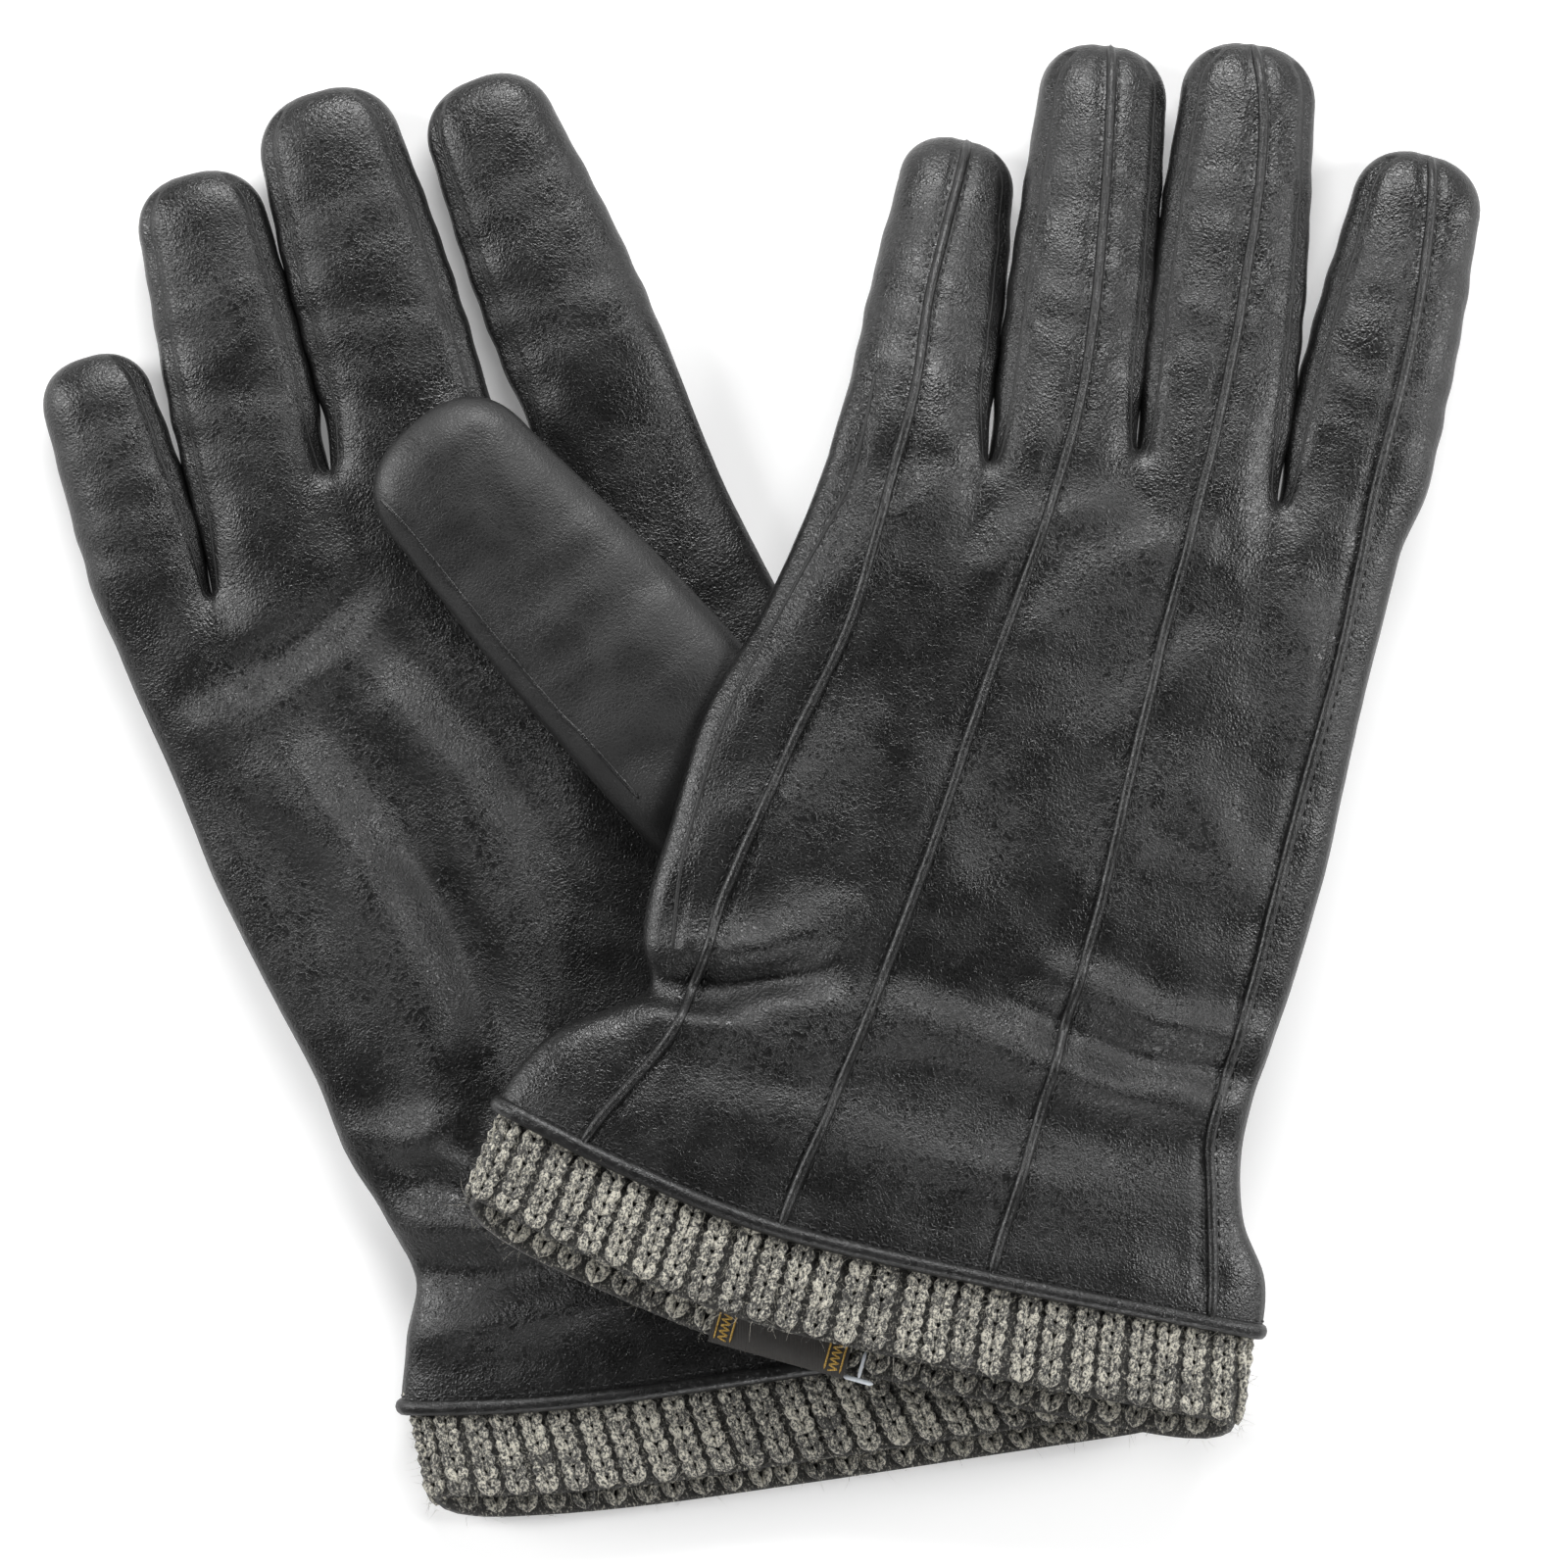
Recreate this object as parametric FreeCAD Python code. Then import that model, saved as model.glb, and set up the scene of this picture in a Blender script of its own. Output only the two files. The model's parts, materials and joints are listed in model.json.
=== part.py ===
"""A pair of lined leather dress gloves, laid one across the other.

Millimetres, +Z up, origin under the centre of the pair on the surface that it lies on.
The right-hand glove lies palm up with its thumb folded over the palm. The left-hand
glove lies across it, back up, with its thumb folded under the palm.

Each glove is drawn in a frame of its own: +Y runs from the cuff edge to the fingertips,
+X towards the index finger and +Z up, with the hand's middle layer at Z = 0.
"""
import FreeCAD, Part
import math
import os
from dataclasses import dataclass, field

V = FreeCAD.Vector

# Sheet thicknesses and clearances
LEATHER = 1.0            # nappa leather
LINING = 1.5             # knitted wool lining
LINING_GAP = 0.8         # air between leather and lining, which the wrist elastic lies in
BODY_GAP = 0.5           # between the two sides of a bend
SEAM_GAP = 0.05          # between a piece and the layer it is sewn to

# Raised seams on the back, which glove makers call points
POINT_WIDTH = 2.2
POINT_HEIGHT = 0.8
POINT_PLACES = {"pinky": -0.76, "ring": -0.24, "middle": 0.29, "index": 0.88}

# Fourchettes, the strips along the sides of the fingers
FOURCHETTE_REACH = 0.40  # share of a finger's half width that the strip covers, seen flat
FOURCHETTE_START = 4.0   # above the crotch

# Cuff
BINDING_HEIGHT = 2.4
BINDING_PROUD = 0.5
KNIT_THICK = 2.2
KNIT_SHOWN = 18.0        # below the binding
KNIT_HIDDEN = 14.0       # above the leather's edge, inside
CUFF_RUN = 60.0          # how far the hand's outline is carried past the leather's edge
ELASTIC_WIDTH = 6.0
ELASTIC_THICK = 0.5
ELASTIC_LENGTH = 70.0
LABEL_SIZE = (26.0, 17.0)
LABEL_THICK = 0.3
LABEL_CENTRE_X = -11.0
PIN_RADIUS = 0.35
PIN_BAR_LENGTH = 6.0
PIN_HEAD_RADIUS = 1.1
PIN_CENTRE_X = 5.0

SMALLEST = 1.0           # mm3, less is a sliver left between two cuts
TIP_STEPS = (0.40, 0.70, 0.88, 0.97)   # how far up a rounded tip its sections stand
SURFACE_CLEARANCE = 0.5                # a fingertip's height over the surface


@dataclass
class Section:
    """One flattened cross-section of the hand, from the cuff edge to the crotches."""

    x: float
    y: float
    width: float
    thick: float


@dataclass
class Digit:
    """One finger or thumb: a flattened tube with a rounded tip and one bend."""

    name: str
    root: tuple
    lean: float            # degrees, towards the little finger
    length: float
    root_width: float
    tip_width: float
    thick: float
    bend: float            # distance of the bend from the root
    seams: tuple = ()      # sides with a fourchette: -1 little-finger side, 1 index side
    rise: float = 0.0      # height of the outer part over the hand's middle layer
    inset: float = 14.0    # how far the tube starts inside the hand
    droop: float = 0.0     # degrees, downwards

    @property
    def tip_round(self):
        """Length of the rounded tip."""
        return 0.46 * self.tip_width

    def frame(self):
        """Placement of the digit's own frame in the glove's."""
        turn = FreeCAD.Rotation(V(0, 0, 1), self.lean) * FreeCAD.Rotation(V(1, 0, 0), -self.droop)
        return FreeCAD.Placement(V(self.root[0], self.root[1], 0), turn)


@dataclass
class Glove:
    """One glove of the pair and how it lies."""

    side: str
    back_up: bool
    sections: list
    fingers: list
    thumb: Digit
    place: tuple           # where the cuff's centre lies, in the pair's frame
    height: float          # of the middle layer at the palm's centre
    turn: float            # degrees, seen from above, positive to the left
    cuff_skew: float = 0.0  # degrees, the cuff edge's turn across the hand
    roll: float = 0.0      # degrees, little-finger edge up
    pitch: float = 0.0     # degrees, fingertips down
    pivot: tuple = (0.0, 70.0)
    extras: list = field(default_factory=list)

    @property
    def palm(self):
        """The palm's direction: 1 up, -1 down."""
        return -1 if self.back_up else 1

    def cuff_frame(self):
        """Placement of the cuff edge's centre in the glove's frame, +Y towards the hand."""
        return at(self.sections[0].x, self.sections[0].y, self.cuff_skew)

    def frame(self):
        """Placement of the glove's own frame in the pair's."""
        pivot = V(self.pivot[0], self.pivot[1], 0)
        tilt = FreeCAD.Rotation(V(0, 1, 0), self.roll) * FreeCAD.Rotation(V(1, 0, 0), -self.pitch)
        lie = FreeCAD.Placement(V(*self.place, self.height), FreeCAD.Rotation(V(0, 0, 1), self.turn))
        return lie * FreeCAD.Placement(pivot, tilt) * FreeCAD.Placement(-pivot, FreeCAD.Rotation())


LEFT = Glove(
    side="left",
    back_up=True,
    place=(21.5, -80.15),
    height=25.0,
    turn=-16.0,
    roll=5.0,
    pitch=2.5,
    sections=[
        Section(0.0, 0.0, 150.0, 17.0),
        Section(4.5, 30.0, 115.0, 15.0),
        Section(3.0, 60.0, 119.0, 16.0),
        Section(6.0, 100.0, 112.0, 16.5),
        Section(6.7, 140.0, 107.0, 15.0),
    ],
    fingers=[
        Digit("index", (48.5, 144.0), 1.6, 75.0, 26.0, 25.0, 14.5, 29.0, (-1,)),
        Digit("middle", (22.0, 147.0), 8.6, 84.0, 27.0, 25.0, 14.5, 31.0, (-1, 1)),
        Digit("ring", (-5.5, 144.0), 8.0, 79.0, 25.0, 23.0, 14.5, 29.0, (-1, 1)),
        Digit("pinky", (-33.0, 139.0), 4.4, 59.5, 25.0, 20.0, 13.5, 22.0, (1,)),
    ],
    thumb=Digit("thumb", (44.0, 60.0), 35.0, 86.0, 33.0, 30.0, 11.0, 42.0, rise=-14.4, inset=4.0),
    extras=["size_label", "tag_pin"],
)

RIGHT = Glove(
    side="right",
    back_up=False,
    place=(0.1, -104.15),
    height=8.6,
    turn=19.0,
    cuff_skew=-12.0,
    sections=[
        Section(1.5, -5.4, 147.0, 15.5),
        Section(-1.5, 38.0, 115.0, 15.0),
        Section(-5.0, 67.0, 116.0, 16.5),
        Section(-11.0, 117.0, 117.0, 16.5),
        Section(-14.0, 164.0, 117.0, 15.0),
    ],
    fingers=[
        Digit("index", (29.5, 168.0), 3.5, 72.5, 29.0, 23.0, 14.5, 27.0, (-1,)),
        Digit("middle", (-7.0, 174.0), -2.8, 74.0, 30.0, 26.0, 14.5, 27.0, (-1, 1)),
        Digit("ring", (-38.0, 168.0), -5.9, 73.5, 25.0, 23.0, 14.5, 27.0, (-1, 1)),
        Digit("pinky", (-62.0, 162.0), -1.6, 53.0, 23.0, 20.0, 13.5, 21.0, (1,)),
    ],
    thumb=Digit("thumb", (30.5, 97.0), 23.0, 95.0, 33.0, 30.0, 12.5, 47.0, rise=15.2, inset=4.0),
)


def at(x, y, turn=0.0):
    """A placement at a point of the middle layer, turned about Z."""
    return FreeCAD.Placement(V(x, y, 0), FreeCAD.Rotation(V(0, 0, 1), turn))


def oval(width, thick, x, y, z=0.0):
    """One flattened section across the hand or a digit, as a closed wire."""
    curve = Part.Ellipse(V(0, 0, 0), width / 2, thick / 2)
    upright = FreeCAD.Placement(V(x, y, z), FreeCAD.Rotation(V(1, 0, 0), 90))
    curve.transform(upright.toMatrix())
    halves = [Part.ArcOfEllipse(curve, k * math.pi, (k + 1) * math.pi) for k in (0, 1)]
    return Part.Wire([half.toShape() for half in halves])


def moved(shape, placement):
    """A copy of a shape with one more placement before its own."""
    copy = shape.copy()
    copy.Placement = placement * copy.Placement
    return copy


def digit_solid(digit, inward, start, end=None):
    """A digit's tube, drawn inward by a distance, in the digit's own frame.

    Without an end it runs to the rounded tip.
    """
    straight = digit.length - digit.tip_round
    stop = straight if end is None else end

    def section(y, shrink=1.0):
        share = min(max(y / straight, 0.0), 1.0)
        width = digit.root_width + (digit.tip_width - digit.root_width) * share
        z = digit.rise * min(max(y / digit.bend, 0.0), 1.0)
        wide = (width - 2 * inward) * shrink
        deep = (digit.thick - 2 * inward) * shrink
        return oval(wide, deep, 0, y, z)

    middles = [y for y in (digit.bend * 0.5, digit.bend, straight) if start + 1 < y < stop - 1]
    wires = [section(y) for y in [start, *middles, stop]]
    if end is None:
        reach = digit.tip_round - inward
        wires += [section(straight + reach * k, math.sqrt(1 - k * k)) for k in TIP_STEPS]
    return Part.makeLoft(wires, True, True)


def hand_solid(glove, inward):
    """The hand with the lower part of each digit, drawn inward, in the glove's frame.

    It runs on past the cuff edge, for the knitted cuff.
    """
    first = glove.sections[0]
    wires = [oval(first.width - 2 * inward, first.thick - 2 * inward, first.x, first.y - CUFF_RUN)]
    for section in glove.sections:
        end = inward if section is glove.sections[-1] else 0.0
        wires.append(oval(section.width - 2 * inward, section.thick - 2 * inward,
                          section.x, section.y - end))
    solid = Part.makeLoft(wires, True, True)
    for digit in [*glove.fingers, glove.thumb]:
        tube = digit_solid(digit, inward, -digit.inset, digit.bend - BODY_GAP / 2)
        solid = solid.fuse(moved(tube, digit.frame()))
    return solid


def cuff_slab(glove, low, high):
    """A block across the hand between two distances from the cuff edge."""
    width, depth = 400.0, 200.0
    block = Part.makeBox(width, high - low, depth, V(-width / 2, low, -depth / 2))
    return moved(block, glove.cuff_frame())


def back_block(glove, low, high, width=400.0, depth=40.0):
    """A block over the back of the glove, or of a digit in its own frame."""
    return Part.makeBox(width, high - low, depth, V(-width / 2, low, -depth if glove.palm > 0 else 0))


def back_of(glove, finger):
    """The room over the back of the hand and of one finger's lower part."""
    over_finger = back_block(glove, 0.0, finger.bend, width=finger.root_width)
    return back_block(glove, -CUFF_RUN, finger.root[1]).fuse(moved(over_finger, finger.frame()))


def side_box(digit, side, start, end):
    """A block over one side of a digit, in the digit's frame."""
    inner = 0.5 * digit.tip_width * (1 - FOURCHETTE_REACH)
    reach = 0.5 * digit.root_width - inner
    low = inner if side > 0 else -inner - reach
    return Part.makeBox(reach, end - start, 2 * digit.thick, V(low, start, -digit.thick))


def ribbon(points, width, low, high):
    """A vertical ribbon of one width along a smooth plan curve."""
    curve = Part.BSplineCurve()
    curve.interpolate([V(x, y, low) for x, y in points])
    steps = 4 * len(points)
    first, last = curve.FirstParameter, curve.LastParameter
    sides = ([], [])
    for step in range(steps + 1):
        here = first + (last - first) * step / steps
        tangent = curve.tangent(here)[0]
        across = V(tangent.y, -tangent.x, 0) * (width / 2)
        sides[0].append(curve.value(here) + across)
        sides[1].append(curve.value(here) - across)
    edges = []
    for side in sides:
        edge = Part.BSplineCurve()
        edge.interpolate(side)
        edges.append(edge.toShape())
    ends = [Part.LineSegment(sides[0][k], sides[1][k]).toShape() for k in (0, -1)]
    wire = Part.Wire(Part.__sortEdges__([edges[0], ends[0], edges[1], ends[1]]))
    return Part.Face(wire).extrude(V(0, 0, high - low))


def point_path(glove, finger):
    """The plan curve of one raised seam, from the cuff edge to its finger's bend."""
    place = POINT_PLACES[finger.name]
    points = [(s.x + place * s.width / 2, s.y) for s in glove.sections[:-1]]
    first, second = points[:2]
    back = CUFF_RUN / 2 / (second[1] - first[1])
    points.insert(0, tuple(a - (b - a) * back for a, b in zip(first, second)))
    reach = finger.bend - BODY_GAP / 2
    for along in (0.3 * reach, reach):
        spot = finger.frame().multVec(V(0, along, 0))
        points.append((spot.x, spot.y))
    return points


def hand_parts(glove):
    """Every piece that stays with the hand, in the glove's frame."""
    outside = hand_solid(glove, 0.0)
    hand = cuff_slab(glove, 0.0, 400.0)
    skin = outside.cut(hand_solid(glove, LEATHER)).common(hand)

    strips = []
    for finger in glove.fingers:
        for side in finger.seams:
            block = side_box(finger, side, FOURCHETTE_START, finger.bend)
            strips.append(skin.common(moved(block, finger.frame())))
    for strip in strips:
        skin = skin.cut(strip)

    proud = hand_solid(glove, -POINT_HEIGHT).cut(outside).common(hand)
    above_surface = Part.makeBox(400, 600, 100, V(-200, -200, -glove.height))
    ribs = []
    for finger in glove.fingers:
        cord = ribbon(point_path(glove, finger), POINT_WIDTH, -40, 40)
        rib = proud.common(cord).common(back_of(glove, finger))
        ribs.append(rib.common(above_surface) if glove.palm > 0 else rib)

    lining_at = LEATHER + LINING_GAP
    lining = hand_solid(glove, lining_at).cut(hand_solid(glove, lining_at + LINING))
    knit_at = LEATHER + SEAM_GAP
    knit = hand_solid(glove, knit_at).cut(hand_solid(glove, knit_at + KNIT_THICK))
    edge = hand_solid(glove, -BINDING_PROUD).cut(hand_solid(glove, LEATHER))
    return {
        "hand_leather": skin,
        "hand_fourchettes": Part.makeCompound(strips),
        "hand_points": Part.makeCompound(ribs),
        "hand_lining": lining.common(cuff_slab(glove, KNIT_HIDDEN + SEAM_GAP, 400.0)),
        "cuff_binding": edge.common(cuff_slab(glove, -BINDING_HEIGHT, -SEAM_GAP)),
        "knit_cuff": knit.common(cuff_slab(glove, -BINDING_HEIGHT - KNIT_SHOWN, KNIT_HIDDEN)),
        "wrist_elastic": wrist_elastic(glove),
    }


def wrist_elastic(glove):
    """The elastic that gathers the wrist, sewn inside the palm leather."""
    wrist = glove.sections[1]
    depth = LEATHER + SEAM_GAP
    tape = hand_solid(glove, depth).cut(hand_solid(glove, depth + ELASTIC_THICK))
    span = Part.makeBox(ELASTIC_LENGTH, ELASTIC_WIDTH, 100,
                        V(wrist.x - ELASTIC_LENGTH / 2, wrist.y, 0 if glove.palm > 0 else -100))
    return tape.common(span)


def digit_parts(glove, digit):
    """Every piece beyond a digit's bend, in the glove's frame."""
    start = digit.bend + BODY_GAP / 2
    straight = digit.length - digit.tip_round
    skin = digit_solid(digit, 0.0, start).cut(digit_solid(digit, LEATHER, start - 2))
    lining_at = LEATHER + LINING_GAP
    lining = digit_solid(digit, lining_at, start).cut(digit_solid(digit, lining_at + LINING, start - 2))
    parts = {"lining": lining}
    strips = [skin.common(side_box(digit, side, start, straight)) for side in digit.seams]
    for strip in strips:
        skin = skin.cut(strip)
    parts["leather"] = skin
    if strips:
        parts["fourchettes"] = Part.makeCompound(strips)
        proud = digit_solid(digit, -POINT_HEIGHT, start).cut(digit_solid(digit, 0.0, start - 2))
        cord = Part.makeBox(POINT_WIDTH, straight - start, 80, V(-POINT_WIDTH / 2, start, -40))
        parts["point"] = proud.common(cord).common(back_block(glove, start, straight))
    return {part: moved(shape, digit.frame()) for part, shape in parts.items()}


def label_and_pin(glove, knit):
    """The size label and the tag pin inside the palm side of the knitted cuff.

    Returns the two pieces and the knitted cuff with the pin's hole.
    """
    first = glove.sections[0]
    bottom = first.y - BINDING_HEIGHT - KNIT_SHOWN
    inner = LEATHER + SEAM_GAP + KNIT_THICK + SEAM_GAP
    sheet = hand_solid(glove, inner).cut(hand_solid(glove, inner + LABEL_THICK))
    width, length = LABEL_SIZE
    span = Part.makeBox(width, length, 50, V(LABEL_CENTRE_X - width / 2, bottom, -50))

    share = 2 * PIN_CENTRE_X / first.width
    face = -(first.thick / 2 - inner) * math.sqrt(1 - share * share)
    bar_z = face + PIN_RADIUS + SEAM_GAP
    under = face - KNIT_THICK - 4 * SEAM_GAP
    hub = V(first.x + PIN_CENTRE_X, bottom + PIN_BAR_LENGTH / 2, under)
    bar = Part.makeCylinder(PIN_RADIUS, PIN_BAR_LENGTH,
                            V(hub.x, bottom + PIN_RADIUS, bar_z), V(0, 1, 0))
    stem = Part.makeCylinder(PIN_RADIUS, bar_z - under, hub)
    head = Part.makeCylinder(PIN_HEAD_RADIUS, 2 * PIN_RADIUS, hub - V(0, 0, 2 * PIN_RADIUS))
    hole = Part.makeCylinder(PIN_RADIUS + SEAM_GAP, -2 * face, V(hub.x, hub.y, 2 * face))
    return sheet.common(span), bar.fuse(stem).fuse(head), knit.cut(hole)


def settle_fingers(glove):
    """Lets each finger droop until the underside of its tip meets the surface."""
    rest = POINT_HEIGHT + 0.15 if glove.palm > 0 else SURFACE_CLEARANCE
    for finger in glove.fingers:
        low, high = 0.0, 30.0
        for _ in range(30):
            finger.droop = (low + high) / 2
            reach = finger.length - finger.tip_round
            tip = (glove.frame() * finger.frame()).multVec(V(0, reach, 0))
            if tip.z > finger.thick / 2 + rest:
                low = finger.droop
            else:
                high = finger.droop


def glove_parts(glove):
    """Every piece of one glove, by node name, in the pair's frame."""
    settle_fingers(glove)
    parts = hand_parts(glove)
    if "size_label" in glove.extras:
        label, pin, knit = label_and_pin(glove, parts["knit_cuff"])
        parts.update(size_label=label, tag_pin=pin, knit_cuff=knit)
    for digit in glove.fingers:
        for part, shape in digit_parts(glove, digit).items():
            parts[f"{digit.name}_finger_{part}"] = shape
    for part, shape in digit_parts(glove, glove.thumb).items():
        parts[f"thumb_{part}"] = shape
    return {f"{glove.side}_{name}": moved(shape, glove.frame()) for name, shape in parts.items()}


def main():
    """Builds both gloves and writes one file for each piece."""
    os.makedirs("parts", exist_ok=True)
    for glove in (RIGHT, LEFT):
        for node, shape in glove_parts(glove).items():
            solids = [solid for solid in shape.Solids if solid.Volume > SMALLEST]
            whole = solids[0] if len(solids) == 1 else Part.makeCompound(solids)
            whole.exportStep(f"parts/{node}.step")
            box = whole.BoundBox
            print(f"{node}: {len(solids)} solids, {whole.Volume:.0f} mm3, valid {whole.isValid()},"
                  f" z {box.ZMin:.2f} to {box.ZMax:.2f}")


if __name__ == "__main__":
    main()
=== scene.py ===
"""A pair of black leather dress gloves lying one across the other, in metres.

The leather of each glove is one grid that runs from the cuff edge over the hand and
out to the fingertips, cut into pieces where the real leather is sewn or bends. The
raised seams, threads, rolled edge, ribbed cuff, linings and label are laid on it.
Shapes are worked out in millimetres in each glove's own frame (+Y to the fingertips,
+X to the index finger, +Z up) and are carried into the pair's frame at the end.
"""
import json
import logging
import math
from dataclasses import dataclass, field
from enum import Enum
from typing import Callable, Iterable, Optional, Sequence

import bpy
import numpy as np
from mathutils import Matrix, Vector, noise
from mathutils.bvhtree import BVHTree

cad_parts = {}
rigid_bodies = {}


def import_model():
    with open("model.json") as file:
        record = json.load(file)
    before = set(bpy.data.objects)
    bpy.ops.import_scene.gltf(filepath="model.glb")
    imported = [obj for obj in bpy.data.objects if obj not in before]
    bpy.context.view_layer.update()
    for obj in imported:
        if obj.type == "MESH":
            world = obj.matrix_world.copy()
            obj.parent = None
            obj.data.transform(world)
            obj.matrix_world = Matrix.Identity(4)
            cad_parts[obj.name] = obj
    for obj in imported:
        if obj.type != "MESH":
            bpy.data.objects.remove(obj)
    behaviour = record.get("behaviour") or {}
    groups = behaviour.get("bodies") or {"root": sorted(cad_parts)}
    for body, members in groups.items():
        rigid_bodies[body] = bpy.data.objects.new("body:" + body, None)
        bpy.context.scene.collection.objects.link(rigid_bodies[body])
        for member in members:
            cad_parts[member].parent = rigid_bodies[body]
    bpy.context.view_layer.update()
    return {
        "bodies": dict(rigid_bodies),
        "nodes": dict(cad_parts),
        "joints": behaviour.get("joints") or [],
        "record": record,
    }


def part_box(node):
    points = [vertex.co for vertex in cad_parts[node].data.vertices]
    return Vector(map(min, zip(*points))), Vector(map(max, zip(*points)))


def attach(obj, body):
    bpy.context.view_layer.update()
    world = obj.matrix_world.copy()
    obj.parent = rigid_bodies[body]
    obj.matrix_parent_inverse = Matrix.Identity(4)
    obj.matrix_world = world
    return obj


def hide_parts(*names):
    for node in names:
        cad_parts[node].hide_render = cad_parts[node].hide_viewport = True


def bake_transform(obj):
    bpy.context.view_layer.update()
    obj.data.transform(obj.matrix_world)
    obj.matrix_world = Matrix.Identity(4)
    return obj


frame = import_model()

MM = 0.001
log = logging.getLogger("gloves")


class Side(Enum):
    """Which hand a glove is for."""

    LEFT = "left"
    RIGHT = "right"


class Digit(Enum):
    """The digits, from the little-finger edge across the hand."""

    PINKY = "pinky"
    RING = "ring"
    MIDDLE = "middle"
    INDEX = "index"
    THUMB = "thumb"


# ---------------------------------------------------------------- shader graphs


class Wire:
    """An output socket that can be used in arithmetic."""

    def __init__(self, graph: "Graph", socket: bpy.types.NodeSocket) -> None:
        """Wraps a socket.

        Args:
            graph: the graph that the socket is in.
            socket: the output socket.
        """
        self.graph = graph
        self.socket = socket

    def _math(self, operation: str, *others: object) -> "Wire":
        """Adds a Math node fed by this wire and others.

        Args:
            operation: the node's operation.
            others: wires or numbers for its other inputs.

        Returns:
            The node's output.
        """
        values = dict(enumerate((self, *others)))
        return self.graph.add("ShaderNodeMath", {"operation": operation}, values)

    def __add__(self, other: object) -> "Wire":
        """Adds to the wire."""
        return self._math("ADD", other)

    def __radd__(self, other: object) -> "Wire":
        """Adds the wire to a number."""
        return self._math("ADD", other)

    def __mul__(self, other: object) -> "Wire":
        """Multiplies the wire."""
        return self._math("MULTIPLY", other)

    def __rmul__(self, other: object) -> "Wire":
        """Multiplies a number by the wire."""
        return self._math("MULTIPLY", other)

    def __sub__(self, other: object) -> "Wire":
        """Takes away from the wire."""
        return self._math("SUBTRACT", other)

    def __rsub__(self, other: object) -> "Wire":
        """Takes the wire away from a number."""
        return self * -1.0 + other

    def __truediv__(self, other: object) -> "Wire":
        """Divides the wire."""
        return self._math("DIVIDE", other)

    def power(self, exponent: float) -> "Wire":
        """Raises the wire to a power."""
        return self._math("POWER", exponent)

    def absolute(self) -> "Wire":
        """Drops the wire's sign."""
        return self._math("ABSOLUTE")

    def ramp(self, low: float, high: float, to_low: float = 0.0, to_high: float = 1.0) -> "Wire":
        """Maps a range smoothly to another.

        Args:
            low: value that gives to_low.
            high: value that gives to_high.
            to_low: result at and below low.
            to_high: result at and above high.

        Returns:
            The mapped wire.
        """
        settings = {"interpolation_type": "SMOOTHSTEP"}
        inputs = {0: self, 1: low, 2: high, 3: to_low, 4: to_high}
        return self.graph.add("ShaderNodeMapRange", settings, inputs)


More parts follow.
